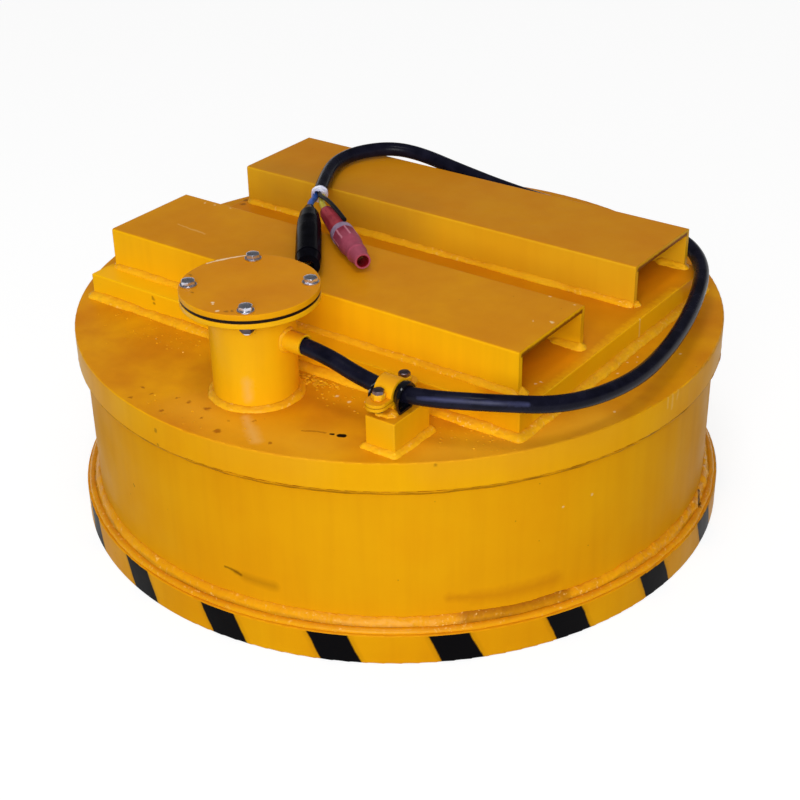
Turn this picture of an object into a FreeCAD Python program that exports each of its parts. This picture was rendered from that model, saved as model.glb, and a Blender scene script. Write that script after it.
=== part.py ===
"""Round scrap lifting electromagnet, carried on a fork truck by two fork pockets.

A welded steel pot (top plate, shell wall, outer pole ring) holds a flat wound coil round a
central pole. A base plate on its back carries the two fork pockets. A junction box on the rim
of the top plate takes the supply cable, which is clamped to a block beside it and ends in two
single pole connectors.

Millimetres. The origin is at the middle of the pole face, +Z is up, X runs along the fork
pockets, and -Y is the side with the junction box.
"""
import FreeCAD, Part
import Sketcher
import math
import os
import re

Vector = FreeCAD.Vector

# Driving dimensions: name, value in millimetres or degrees, what it measures
SIZES = [
    ("wall_radius", 440, "shell wall, outside radius"),
    ("wall_thickness", 30, "shell wall, thickness"),
    ("wall_height", 202, "shell wall, height"),
    ("ring_reach", 20, "how far the outer pole ring stands out past the wall"),
    ("ring_height", 44, "outer pole ring, height"),
    ("ring_ledge", 18, "width of the ledge that carries the guard plate at its rim"),
    ("plate_overhang", 10, "how far the top plate stands out past the wall"),
    ("plate_thickness", 41, "top plate, thickness"),
    ("rim_round", 2, "rounding of the top plate's and pole ring's rims"),
    ("ring_bead", 11.5, "weld bead on the pole ring, leg"),
    ("rim_bead", 7, "weld bead under the top plate's rim, leg"),
    ("pole_radius", 165, "central pole, radius"),
    ("shoe_radius", 190, "central pole shoe, radius"),
    ("shoe_thickness", 20, "central pole shoe, thickness"),
    ("shoe_bolt_circle", 120, "pole shoe screws, radius of their circle"),
    ("shoe_bolt_radius", 10, "pole shoe screws, shank radius"),
    ("shoe_head_radius", 15, "pole shoe screws, head radius"),
    ("shoe_head_height", 12, "pole shoe screws, head height"),
    ("shoe_bolt_depth", 40, "pole shoe screws, length inside the pole"),
    ("guard_thickness", 16, "guard plate under the coil, thickness"),
    ("guard_clearance", 1, "gap round the guard plate"),
    ("sleeve_thickness", 7, "insulating sleeve on the pole, thickness"),
    ("board_thickness", 5, "insulating boards under and over the coil, thickness"),
    ("coil_gap", 20, "gap between the coil and the shell wall, filled with compound"),
    ("pancake_height", 42, "coil pancakes, height of each"),
    ("separator_thickness", 4, "insulating sheets between pancakes, thickness"),
    ("lead_radius", 5, "coil lead rods, radius"),
    ("lead_spacing", 44, "distance between the two coil leads"),
    ("lead_height", 45, "coil leads, height above the top plate"),
    ("hole_clearance", 0.5, "gap between a rod or bolt and its hole"),
    ("base_length", 705, "base plate, length"),
    ("base_width", 491, "base plate, width"),
    ("base_thickness", 35, "base plate, thickness"),
    ("base_offset_x", -4, "base plate, place of its middle along X"),
    ("base_gap", 26, "gap between the junction box tube and the base plate"),
    ("base_round", 2, "rounding of the base plate's edges"),
    ("base_bead", 9, "weld bead round the base plate, leg"),
    ("pocket_length", 668, "fork pockets, length"),
    ("pocket_width", 155, "fork pockets, outside width"),
    ("pocket_height", 58, "fork pockets, outside height"),
    ("pocket_wall", 8, "fork pockets, sheet thickness"),
    ("pocket_bend", 3, "fork pockets, outside bend radius"),
    ("pocket_offset_x", -9.5, "fork pockets, place of their middle along X"),
    ("front_setback", 36, "front fork pocket, distance from the base plate's front edge"),
    ("rear_setback", 10.5, "rear fork pocket, distance from the base plate's rear edge"),
    ("pocket_bead", 7, "weld beads along the fork pockets, leg"),
    ("box_x", 12, "junction box, place of its axis along X"),
    ("box_inset", 117, "junction box, distance of its axis from the wall's outside"),
    ("tube_radius", 54, "junction box tube, outside radius"),
    ("tube_wall", 6, "junction box tube, wall"),
    ("tube_height", 134.5, "junction box tube, height"),
    ("tube_bead", 8, "weld bead round the junction box tube, leg"),
    ("flange_radius", 86.5, "junction box flange and cover, radius"),
    ("flange_thickness", 7, "junction box flange, thickness"),
    ("gasket_thickness", 4, "cover gasket, thickness"),
    ("gasket_inset", 1, "how far the gasket's rim stands back"),
    ("cover_thickness", 8, "junction box cover, thickness"),
    ("cover_round", 1, "rounding of the cover's and flange's rims"),
    ("cover_bolt_circle", 74, "cover bolts, radius of their circle"),
    ("cover_bolt_angle", 37, "cover bolts, angle of the first one from +X"),
    ("cover_bolt_radius", 5, "cover bolts, shank radius"),
    ("cover_bolt_flats", 16, "cover bolts and nuts, width across flats"),
    ("cover_head_height", 6.4, "cover bolts, head height"),
    ("cover_nut_height", 8, "cover nuts, height"),
    ("cover_bolt_tail", 3, "cover bolts, length past the nut"),
    ("washer_radius", 10.5, "cover washers, radius"),
    ("washer_thickness", 2, "cover washers, thickness"),
    ("terminal_board_thickness", 15, "terminal board, thickness"),
    ("terminal_flats", 17, "terminal nuts, width across flats"),
    ("terminal_nut_height", 8, "terminal nuts, height"),
    ("inner_wire_radius", 3, "wires from the cable to the terminals, radius"),
    ("outlet_radius", 13.4, "cable outlet pipe, outside radius"),
    ("outlet_bead", 5, "weld bead round the outlet pipe, leg"),
    ("outlet_offset", 2, "outlet pipe and cable clamp, how far their axis lies behind the junction box's"),
    ("outlet_reach", 27, "cable outlet pipe, length outside the tube"),
    ("outlet_height", 85, "cable outlet pipe, height of its axis above the top plate"),
    ("cable_radius", 10.5, "supply cable, radius"),
    ("cable_clearance", 0.3, "gap between the cable and what it passes through"),
    ("block_length", 72, "clamp block, length along Y"),
    ("block_width", 42, "clamp block, width along X"),
    ("block_height", 43, "clamp block, height"),
    ("block_x", 229, "clamp block, place of its middle along X"),
    ("block_round", 1.5, "rounding of the clamp block's edges"),
    ("block_bead", 7, "weld bead round the clamp block, leg"),
    ("clamp_x", 221, "cable clamp, place of its middle along X"),
    ("clamp_rise", 63, "cable clamp, height of its axis above the top plate"),
    ("seat_bead", 5.5, "weld beads at the foot of the lower clamp strap, leg"),
    ("clamp_width", 26, "cable clamp straps, width"),
    ("clamp_thickness", 4.2, "cable clamp straps, thickness"),
    ("clamp_ear_reach", 43, "cable clamp ears, reach from the axis"),
    ("clamp_ear_round", 12.5, "cable clamp ears, corner radius"),
    ("clamp_ear_drop", 4, "cable clamp ears, depth of the joint between them below the axis"),
    ("clamp_gap", 0.8, "gap between the two clamp straps"),
    ("clamp_bolt_reach", 26, "clamp bolts, distance from the axis"),
    ("clamp_bolt_radius", 4, "clamp bolts, shank radius"),
    ("clamp_bolt_flats", 13, "clamp bolts and nuts, width across flats"),
    ("clamp_head_height", 5.3, "clamp bolts, head height"),
    ("clamp_nut_height", 6.5, "clamp nuts, height"),
    ("clamp_spacer_height", 8, "spacer nuts under the clamp bolts' heads, height"),
    ("rubber_thickness", 3, "rubber sleeve in the clamp, thickness"),
    ("rubber_clearance", 0.7, "gap between the cable and the rubber sleeve"),
    ("rubber_tail", 18, "rubber sleeve, length past the clamp on the cable's free side"),
    ("rubber_flare", 5, "rubber sleeve, how far its tail flares out"),
    ("tie_width", 3, "white tie on the cable's end, width"),
    ("tie_thickness", 1.6, "white tie, thickness"),
    ("tie_lip", 4, "white tie, thickness of the lip that closes round the cores"),
    ("core_radius", 4.5, "blue and yellow cores, radius"),
    ("core_spread", 4.6, "distance of a core from the middle of the sheath's end"),
    ("spare_core_radius", 3, "cut-off black core, radius"),
    ("spare_core_reach", 72, "cut-off black core, how far it runs beside the red connector"),
    ("spare_core_rise", 70, "cut-off black core, angle above the level beside the red connector"),
    ("plug_bore_radius", 7.6, "connectors, radius of the socket bore"),
    ("plug_bore_depth", 62, "connectors, depth of the socket bore"),
    ("plug_core_depth", 20, "connectors, how deep the core goes in"),
    ("red_plug_length", 176, "red connector, length"),
    ("red_boot_length", 78, "red connector, length of the rear boot"),
    ("red_tail_radius", 9.5, "red connector, radius at the rear end"),
    ("red_boot_radius", 14, "red connector, radius at the front of the boot"),
    ("red_body_radius", 16.5, "red connector, radius of the front body"),
    ("red_body_length", 28, "red connector, length of the parallel front body"),
    ("red_nozzle_length", 34, "red connector, length of the nozzle"),
    ("red_nozzle_radius", 12.4, "red connector, radius where the nozzle starts"),
    ("red_collar", 1.4, "red connector, how far the nozzle's collar stands out"),
    ("red_end_radius", 10.6, "red connector, radius at the nozzle's end"),
    ("red_band_width", 12, "band on the red connector, width"),
    ("red_band_thickness", 2.5, "band on the red connector, thickness"),
    ("red_flat_depth", 0.9, "red connector, depth of the lengthwise flats on its front body"),
    ("black_plug_length", 195, "black connector, length"),
    ("black_boot_length", 92, "black connector, length of the rear boot"),
    ("black_tail_radius", 7, "black connector, radius at the rear end"),
    ("black_body_radius", 17.4, "black connector, radius of the front body"),
    ("black_groove_at", 171, "black connector, distance from the rear end to the groove"),
    ("black_groove_width", 4, "black connector, width of the groove"),
    ("black_groove_depth", 1.4, "black connector, depth of the groove"),
    ("black_end_radius", 15.6, "black connector, radius at the front end"),
    ("contact_wall", 2.2, "brass contacts, wall"),
    ("contact_length", 40, "brass contacts, length"),
    ("black_plug_x", -131, "black connector, place of its rear end along X"),
    ("black_plug_across", 177.5, "black connector, rear end's distance from the front pocket's front"),
    ("black_plug_heading", -52, "black connector, heading from +X"),
    ("red_plug_x", -104, "red connector, place of its rear end along X"),
    ("red_plug_across", 182, "red connector, rear end's distance from the front pocket's front"),
    ("red_plug_heading", -36.5, "red connector, heading from +X"),
    ("rest_clearance", 0.2, "gap under a connector lying on the front pocket"),
]

doc = FreeCAD.newDocument("lifting_electromagnet")
sheet = doc.addObject("Spreadsheet::Sheet", "sizes")
for row, (name, number, meaning) in enumerate(SIZES, start=1):
    sheet.set(f"A{row}", meaning)
    sheet.set(f"B{row}", str(number))
    sheet.setAlias(f"B{row}", name)
doc.recompute()

# Levels and places that several pieces share, as formulas of the sizes
PLATE_BOTTOM = "(ring_height + wall_height)"
PLATE_TOP = f"({PLATE_BOTTOM} + plate_thickness)"
BASE_TOP = f"({PLATE_TOP} + base_thickness)"
POCKET_TOP = f"({BASE_TOP} + pocket_height)"
WALL_BORE = "(wall_radius - wall_thickness)"
RING_RADIUS = "(wall_radius + ring_reach)"
PLATE_RADIUS = "(wall_radius + plate_overhang)"
PANCAKE_RADIUS = f"({WALL_BORE} - coil_gap)"
BOX_Y = "(box_inset - wall_radius)"
OUTLET_Y = f"({BOX_Y} + outlet_offset)"
BASE_FRONT = f"({BOX_Y} + tube_radius + base_gap)"
FRONT_POCKET = f"({BASE_FRONT} + front_setback)"
REAR_POCKET = f"({BASE_FRONT} + base_width - rear_setback - pocket_width)"
COIL_BOTTOM = "(shoe_thickness + guard_thickness)"
COIL_BORE = "(pole_radius + sleeve_thickness)"
PANCAKES = 4
COIL_TOP = (f"({COIL_BOTTOM} + 2 * board_thickness + {PANCAKES} * pancake_height"
            f" + {PANCAKES - 1} * separator_thickness)")
TUBE_BORE = "(tube_radius - tube_wall)"
CABLE_HOLE = "(cable_radius + cable_clearance)"
CLAMP_AXIS = f"({PLATE_TOP} + clamp_rise)"
RUBBER_BORE = "(cable_radius + rubber_clearance)"
RUBBER_OUTSIDE = f"({RUBBER_BORE} + rubber_thickness)"
CLAMP_BORE = f"({RUBBER_OUTSIDE} + cable_clearance)"


def cells(formula):
    """Spell a formula of size names as a spreadsheet expression."""
    return re.sub(r"\b[a-z]+_\w+\b", lambda size: "sizes." + size.group(), formula)


def value(formula):
    """The present number behind a formula."""
    return float(sheet.evalExpression(cells(formula)))


def drive(item, **properties):
    """Bind an item's properties to formulas of the sizes."""
    for name, formula in properties.items():
        item.setExpression(name, cells(formula))


def place(item, x="0", y="0", z="0"):
    """Bind an item's place to formulas of the sizes."""
    for axis, formula in zip("xyz", (x, y, z)):
        item.setExpression(".Placement.Base." + axis, cells(formula))


pieces = []


def new_body(label, x="0", y="0", z="0"):
    """A sub-part of the magnet, with its own origin."""
    body = doc.addObject("PartDesign::Body", label)
    body.Label = label
    place(body, x, y, z)
    pieces.append(body)
    return body


def origin_feature(body, role):
    """One of a body's own origin planes or axes."""
    return next(item for item in body.Origin.OriginFeatures if item.Role == role)


def draw_outline(body, plane, outline):
    """A closed sketch of straight lines whose corners are pairs of formulas."""
    sketch = body.newObject("Sketcher::SketchObject", body.Name + "_outline")
    sketch.AttachmentSupport = [(origin_feature(body, plane), "")]
    sketch.MapMode = "FlatFace"
    corners = [Vector(value(across), value(up), 0) for across, up in outline]
    count = len(corners)
    for index, corner in enumerate(corners):
        sketch.addGeometry(Part.LineSegment(corner, corners[(index + 1) % count]), False)
    for index in range(count):
        sketch.addConstraint(Sketcher.Constraint("Coincident", index, 2, (index + 1) % count, 1))
    axes = (("DistanceX", -2), ("DistanceY", -1))
    for index, pair in enumerate(outline):
        for formula, number, (kind, axis) in zip(pair, corners[index], axes):
            if formula == "0":
                sketch.addConstraint(Sketcher.Constraint("PointOnObject", index, 1, axis))
                continue
            made = sketch.addConstraint(Sketcher.Constraint(kind, -1, 1, index, 1, number))
            sketch.setExpression(f"Constraints[{made}]", cells(formula))
    return sketch


def turned(label, outline, x="0", y="0", z="0"):
    """A body turned about its Z axis from (radius, height) corners."""
    body = new_body(label, x, y, z)
    sketch = draw_outline(body, "XZ_Plane", outline)
    turn = body.newObject("PartDesign::Revolution", label + "_turn")
    turn.Profile = sketch
    turn.ReferenceAxis = (sketch, ["V_Axis"])
    turn.Angle = 360
    return body


def turned_lengthwise(label, outline, x="0", y="0", z="0"):
    """A body turned about its X axis from (length, radius) corners."""
    body = new_body(label, x, y, z)
    sketch = draw_outline(body, "XY_Plane", outline)
    turn = body.newObject("PartDesign::Revolution", label + "_turn")
    turn.Profile = sketch
    turn.ReferenceAxis = (sketch, ["H_Axis"])
    turn.Angle = 360
    return body


def ring_outline(bore, radius, height):
    """The section of a plain ring."""
    return [(bore, "0"), (radius, "0"), (radius, height), (bore, height)]


def ring_outline_lengthwise(bore, radius, length):
    """The same section for a ring that lies along X."""
    return [("0", bore), (length, bore), (length, radius), ("0", radius)]


def form(body, kind, at=("0", "0", "0"), turn=None, **sizes):
    """Add to or cut from a body with a primitive form, standing on the point at."""
    feature = body.newObject("PartDesign::" + kind, f"{body.Name}_{kind}")
    if turn:
        feature.Placement.Rotation = turn
    drive(feature, **sizes)
    place(feature, *at)
    return feature


def pattern(body, features, count, axis="Z_Axis"):
    """Repeat features evenly round one of the body's axes."""
    doc.recompute()
    ring = body.newObject("PartDesign::PolarPattern", body.Name + "_pattern")
    ring.Originals = features
    ring.Axis = (origin_feature(body, axis), [""])
    ring.Angle = 360
    ring.Occurrences = count
    body.Tip = ring
    return ring


def rounded(body, radius, wanted):
    """Round the edges of the body's last feature that the test wanted picks."""
    doc.recompute()
    base = body.Tip
    names = [f"Edge{number}" for number, edge in enumerate(base.Shape.Edges, start=1) if wanted(edge)]
    rounding = body.newObject("PartDesign::Fillet", body.Name + "_rounding")
    rounding.Base = (base, names)
    drive(rounding, Radius=radius)
    body.Tip = rounding


def runs_along(edge, direction):
    """Whether a straight edge runs along a direction."""
    if not isinstance(edge.Curve, Part.Line):
        return False
    return abs(abs(edge.Curve.Direction.dot(direction)) - 1) < 1e-6


def above_foot(edge):
    """Whether an edge rises from or lies above the plane that its body stands on."""
    return edge.BoundBox.ZMax > 1e-3


LYING_ALONG_X = FreeCAD.Rotation(Vector(0, 1, 0), 90)

# The pot: top plate, rolled shell wall and outer pole ring, welded together
leads = [("box_x - lead_spacing / 2", BOX_Y), ("box_x + lead_spacing / 2", BOX_Y)]


def lead_holes(body, height):
    """The two holes that the coil leads pass through."""
    for lead_x, lead_y in leads:
        form(body, "SubtractiveCylinder", at=(lead_x, lead_y, "0"),
             Radius="lead_radius + hole_clearance", Height=height)


top_plate = turned("top_plate", ring_outline("0", PLATE_RADIUS, "plate_thickness"), z=PLATE_BOTTOM)
rounded(top_plate, "rim_round", lambda edge: isinstance(edge.Curve, Part.Circle))
lead_holes(top_plate, "plate_thickness")

turned("shell_wall", ring_outline(WALL_BORE, "wall_radius", "wall_height"), z="ring_height")

outer_pole_ring = turned("outer_pole_ring", [
    (f"{WALL_BORE} - ring_ledge", "0"),
    (RING_RADIUS, "0"),
    (RING_RADIUS, "ring_height"),
    (WALL_BORE, "ring_height"),
    (WALL_BORE, "shoe_thickness"),
    (f"{WALL_BORE} - ring_ledge", "shoe_thickness"),
])
rounded(outer_pole_ring, "rim_round", lambda edge: isinstance(edge.Curve, Part.Circle)
        and abs(edge.Curve.Radius - value(RING_RADIUS)) < 1e-6)

# The ring's weld: a root run against the wall and a cap run at its foot, lying side by side
turned("ring_weld", [
    ("wall_radius", "0"),
    ("wall_radius + ring_bead", "0"),
    ("wall_radius + 0.95 * ring_bead", "0.3 * ring_bead"),
    ("wall_radius + 0.7 * ring_bead", "0.48 * ring_bead"),
    ("wall_radius + 0.48 * ring_bead", "0.46 * ring_bead"),
    ("wall_radius + 0.34 * ring_bead", "0.8 * ring_bead"),
    ("wall_radius + 0.16 * ring_bead", "ring_bead"),
    ("wall_radius", "1.05 * ring_bead"),
], z="ring_height")

# The weld under the top plate's rim, in the corner that the overhang makes with the wall
turned("rim_weld", [
    ("wall_radius", "0"),
    ("wall_radius", "-rim_bead"),
    ("wall_radius + 0.5 * rim_bead", "-0.7 * rim_bead"),
    ("wall_radius + rim_bead", "0"),
], z=PLATE_BOTTOM)

# The central pole with its screwed-on shoe, and the guard plate that both poles carry
SHOE_SCREWS = 6
inner_pole = new_body("inner_pole", z="shoe_thickness")
form(inner_pole, "AdditiveCylinder", Radius="pole_radius", Height=f"{PLATE_BOTTOM} - shoe_thickness")
tapped = form(inner_pole, "SubtractiveCylinder", at=("shoe_bolt_circle", "0", "0"),
              Radius="shoe_bolt_radius + hole_clearance", Height="shoe_bolt_depth")
pattern(inner_pole, [tapped], SHOE_SCREWS)

inner_pole_shoe = new_body("inner_pole_shoe")
form(inner_pole_shoe, "AdditiveCylinder", Radius="shoe_radius", Height="shoe_thickness")
bored = form(inner_pole_shoe, "SubtractiveCylinder", at=("shoe_bolt_circle", "0", "0"),
             Radius="shoe_bolt_radius + hole_clearance", Height="shoe_thickness")
sunk = form(inner_pole_shoe, "SubtractiveCylinder", at=("shoe_bolt_circle", "0", "0"),
            Radius="shoe_head_radius + hole_clearance", Height="shoe_head_height")
pattern(inner_pole_shoe, [bored, sunk], SHOE_SCREWS)

pole_shoe_bolts = new_body("pole_shoe_bolts")
head = form(pole_shoe_bolts, "AdditiveCylinder", at=("shoe_bolt_circle", "0", "0"),
            Radius="shoe_head_radius", Height="shoe_head_height")
shank = form(pole_shoe_bolts, "AdditiveCylinder", at=("shoe_bolt_circle", "0", "shoe_head_height"),
             Radius="shoe_bolt_radius", Height="shoe_thickness - shoe_head_height + shoe_bolt_depth")
hex_socket = form(pole_shoe_bolts, "SubtractivePrism", at=("shoe_bolt_circle", "0", "0"),
                  Circumradius="0.9 * shoe_bolt_radius", Height="shoe_head_height / 2")
pattern(pole_shoe_bolts, [head, shank, hex_socket], SHOE_SCREWS)

turned("guard_plate", ring_outline("pole_radius + guard_clearance", f"{WALL_BORE} - guard_clearance",
                                   "guard_thickness"), z="shoe_thickness")

# The coil: flat wound pancakes on an insulating sleeve, sheets between them, boards at the ends
turned("coil_sleeve", ring_outline("pole_radius", COIL_BORE, f"{COIL_TOP} - {COIL_BOTTOM}"),
       z=COIL_BOTTOM)
turned("coil_base_board", ring_outline(COIL_BORE, PANCAKE_RADIUS, "board_thickness"), z=COIL_BOTTOM)
PITCH = "(pancake_height + separator_thickness)"
for index in range(PANCAKES):
    turned(f"coil_pancake_{index + 1}", ring_outline(COIL_BORE, PANCAKE_RADIUS, "pancake_height"),
           z=f"{COIL_BOTTOM} + board_thickness + {index} * {PITCH}")

separators = turned("coil_separators", ring_outline(COIL_BORE, PANCAKE_RADIUS, "separator_thickness"),
                    z=f"{COIL_BOTTOM} + board_thickness + pancake_height")
doc.recompute()
stack = separators.newObject("PartDesign::LinearPattern", "coil_separators_stack")
stack.Originals = [separators.Tip]
stack.Direction = (origin_feature(separators, "Z_Axis"), [""])
stack.Occurrences = PANCAKES - 1
drive(stack, Length=f"{PANCAKES - 2} * {PITCH}")
separators.Tip = stack

coil_top_board = turned("coil_top_board", ring_outline(COIL_BORE, PANCAKE_RADIUS, "board_thickness"),
                        z=f"{COIL_TOP} - board_thickness")
lead_holes(coil_top_board, "board_thickness")

# Potting compound fills the pot over the coil and outside it
potting = turned("potting_compound", [
    (PANCAKE_RADIUS, "0"),
    (WALL_BORE, "0"),
    (WALL_BORE, f"{PLATE_BOTTOM} - {COIL_BOTTOM}"),
    ("pole_radius", f"{PLATE_BOTTOM} - {COIL_BOTTOM}"),
    ("pole_radius", f"{COIL_TOP} - {COIL_BOTTOM}"),
    (PANCAKE_RADIUS, f"{COIL_TOP} - {COIL_BOTTOM}"),
], z=COIL_BOTTOM)
lead_holes(potting, f"{PLATE_BOTTOM} - {COIL_BOTTOM}")

# Lead rods rise from the upper pancake through the top plate and end as terminal studs
coil_leads = new_body("coil_leads", z=f"{COIL_TOP} - board_thickness")
for lead_x, lead_y in leads:
    form(coil_leads, "AdditiveCylinder", at=(lead_x, lead_y, "0"), Radius="lead_radius",
         Height=f"{PLATE_TOP} + lead_height - ({COIL_TOP} - board_thickness)")

terminal_board = new_body("terminal_board", z=PLATE_TOP)
form(terminal_board, "AdditiveCylinder", at=("box_x", BOX_Y, "0"),
     Radius=f"{TUBE_BORE} - hole_clearance", Height="terminal_board_thickness")
lead_holes(terminal_board, "terminal_board_thickness")

terminal_nuts = new_body("terminal_nuts", z=f"{PLATE_TOP} + terminal_board_thickness")
for lead_x, lead_y in leads:
    form(terminal_nuts, "AdditivePrism", at=(lead_x, lead_y, "0"),
         Circumradius="terminal_flats / sqrt(3)", Height="terminal_nut_height")
    form(terminal_nuts, "SubtractiveCylinder", at=(lead_x, lead_y, "0"),
         Radius="lead_radius + hole_clearance / 5", Height="terminal_nut_height")

# The carrying gear: a base plate welded to the pot, and two pockets bent from sheet
BASE_CORNER = ("base_offset_x - base_length / 2", BASE_FRONT, PLATE_TOP)
base_plate = new_body("base_plate", *BASE_CORNER)
form(base_plate, "AdditiveBox", Length="base_length", Width="base_width", Height="base_thickness")
rounded(base_plate, "base_round", above_foot)


def bead_frame(label, length, width, leg, x, y, z, ends=True):
    """A fillet weld along the foot of a box, round it or along its two long sides."""
    body = new_body(label, x, y, z)
    reach = leg if ends else "0"
    wedge = form(body, "AdditiveWedge", Xmin=f"-{reach}", Xmax=f"{length} + {reach}",
                 Zmin=f"-{leg}", Zmax=f"{width} + {leg}", X2min="0", X2max=length,
                 Z2min="0", Z2max=width, Ymin="0", Ymax=leg)
    wedge.Placement.Rotation = FreeCAD.Rotation(Vector(1, 0, 0), 90)
    wedge.setExpression(".Placement.Base.y", cells(width))
    form(body, "SubtractiveBox", Length=length, Width=width, Height=leg)
    return body


bead_frame("base_plate_weld", "base_length", "base_width", "base_bead", *BASE_CORNER)


def fork_pocket(side, front_y):
    """A bent sheet trough, open below and at both ends, with its two lines of weld."""
    corner = ("pocket_offset_x - pocket_length / 2", front_y, BASE_TOP)
    body = new_body(f"{side}_fork_pocket", *corner)
    inner = "pocket_width - pocket_wall"
    roof = "pocket_height - pocket_wall"
    sketch = draw_outline(body, "YZ_Plane", [
        ("0", "0"), ("0", "pocket_height"), ("pocket_width", "pocket_height"), ("pocket_width", "0"),
        (inner, "0"), (inner, roof), ("pocket_wall", roof), ("pocket_wall", "0"),
    ])
    sheet_run = body.newObject("PartDesign::Pad", f"{side}_pocket_run")
    sheet_run.Profile = sketch
    drive(sheet_run, Length="pocket_length")
    rounded(body, "pocket_bend", lambda edge: runs_along(edge, Vector(1, 0, 0))
            and edge.BoundBox.ZMin > value("pocket_height - pocket_wall / 2"))
    bead_frame(f"{side}_pocket_welds", "pocket_length", "pocket_width", "pocket_bead", *corner, ends=False)


fork_pocket("front", FRONT_POCKET)
fork_pocket("rear", REAR_POCKET)

# The junction box: a tube stood on the top plate, its flange, gasket and bolted cover
COVER_BOLTS = 4
FLANGE_TOP = f"({PLATE_TOP} + tube_height)"
COVER_BOTTOM = f"({FLANGE_TOP} + gasket_thickness)"
COVER_TOP = f"({COVER_BOTTOM} + cover_thickness)"
BOLT_SPOT = ("cover_bolt_circle * cos(cover_bolt_angle)", "cover_bolt_circle * sin(cover_bolt_angle)")
BOLT_HOLE = "cover_bolt_radius + hole_clearance"

junction_tube = turned("junction_tube", ring_outline(TUBE_BORE, "tube_radius", "tube_height"),
                       "box_x", BOX_Y, PLATE_TOP)
form(junction_tube, "SubtractiveCylinder", at=("0", "outlet_offset", "outlet_height"),
     turn=LYING_ALONG_X, Radius="outlet_radius + cable_clearance", Height="2 * tube_radius")

turned("junction_weld", [("tube_radius", "0"), ("tube_radius + tube_bead", "0"),
                         ("tube_radius + 0.6 * tube_bead", "0.55 * tube_bead"), ("tube_radius", "tube_bead")],
       "box_x", BOX_Y, PLATE_TOP)


def bolted_ring(label, bore, radius, thickness, z, rim_round=None):
    """A disc or ring on the junction box, with the cover bolts' holes through it."""
    body = turned(label, ring_outline(bore, radius, thickness), "box_x", BOX_Y, z)
    if rim_round:
        rounded(body, rim_round, lambda edge: isinstance(edge.Curve, Part.Circle)
                and abs(edge.Curve.Radius - value(radius)) < 1e-6)
    hole = form(body, "SubtractiveCylinder", at=(*BOLT_SPOT, "0"), Radius=BOLT_HOLE, Height=thickness)
    pattern(body, [hole], COVER_BOLTS)


bolted_ring("junction_flange", "tube_radius", "flange_radius", "flange_thickness",
            f"{FLANGE_TOP} - flange_thickness", "cover_round")
bolted_ring("junction_gasket", TUBE_BORE, "flange_radius - gasket_inset", "gasket_thickness", FLANGE_TOP)
bolted_ring("junction_cover", "0", "flange_radius", "cover_thickness", COVER_BOTTOM, "cover_round")

cover_washers = new_body("cover_washers", "box_x", BOX_Y, COVER_TOP)
washer = form(cover_washers, "AdditiveCylinder", at=(*BOLT_SPOT, "0"),
              Radius="washer_radius", Height="washer_thickness")
washer_hole = form(cover_washers, "SubtractiveCylinder", at=(*BOLT_SPOT, "0"),
                   Radius=BOLT_HOLE, Height="washer_thickness")
pattern(cover_washers, [washer, washer_hole], COVER_BOLTS)

CLAMPED = "(flange_thickness + gasket_thickness + cover_thickness + washer_thickness)"
cover_bolts = new_body("cover_bolts", "box_x", BOX_Y, f"{COVER_TOP} + washer_thickness")
head = form(cover_bolts, "AdditivePrism", at=(*BOLT_SPOT, "0"),
            Circumradius="cover_bolt_flats / sqrt(3)", Height="cover_head_height")
SHANK_LENGTH = f"({CLAMPED} + cover_nut_height + cover_bolt_tail)"
shank = form(cover_bolts, "AdditiveCylinder", at=(*BOLT_SPOT, f"-{SHANK_LENGTH}"),
             Radius="cover_bolt_radius", Height=SHANK_LENGTH)
pattern(cover_bolts, [head, shank], COVER_BOLTS)

cover_nuts = new_body("cover_nuts", "box_x", BOX_Y, f"{FLANGE_TOP} - flange_thickness - cover_nut_height")
nut = form(cover_nuts, "AdditivePrism", at=(*BOLT_SPOT, "0"),
           Circumradius="cover_bolt_flats / sqrt(3)", Height="cover_nut_height")
thread = form(cover_nuts, "SubtractiveCylinder", at=(*BOLT_SPOT, "0"),
              Radius="cover_bolt_radius + hole_clearance / 5", Height="cover_nut_height")
pattern(cover_nuts, [nut, thread], COVER_BOLTS)

# The outlet pipe that the supply cable leaves the junction box through
OUTLET_START = "(box_x + tube_radius - tube_wall)"
OUTLET_LENGTH = "(tube_wall + outlet_reach)"
turned_lengthwise("cable_outlet", ring_outline_lengthwise(CABLE_HOLE, "outlet_radius", OUTLET_LENGTH),
                  OUTLET_START, OUTLET_Y, f"{PLATE_TOP} + outlet_height")

# The weld round the outlet pipe, shaped to the junction box tube behind it
outlet_weld = turned_lengthwise("outlet_weld", [
    ("0", "outlet_radius"),
    ("tube_wall + outlet_bead", "outlet_radius"),
    ("tube_wall + outlet_bead / 3", "outlet_radius + outlet_bead"),
    ("0", "outlet_radius + outlet_bead"),
], OUTLET_START, OUTLET_Y, f"{PLATE_TOP} + outlet_height")
form(outlet_weld, "SubtractiveCylinder", at=(f"box_x - {OUTLET_START}", "-outlet_offset", "-tube_radius"),
     Radius="tube_radius", Height="2 * tube_radius")

# The clamp beside the junction box: a welded block, two straps, two bolts and a rubber sleeve
BLOCK_CORNER = ("block_x - block_width / 2", f"{OUTLET_Y} - block_length / 2", PLATE_TOP)
clamp_block = new_body("clamp_block", *BLOCK_CORNER)
form(clamp_block, "AdditiveBox", Length="block_width", Width="block_length", Height="block_height")
rounded(clamp_block, "block_round", above_foot)
bead_frame("clamp_block_weld", "block_width", "block_length", "block_bead", *BLOCK_CORNER)

STRAP_RADIUS = f"({CLAMP_BORE} + clamp_thickness)"


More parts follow.
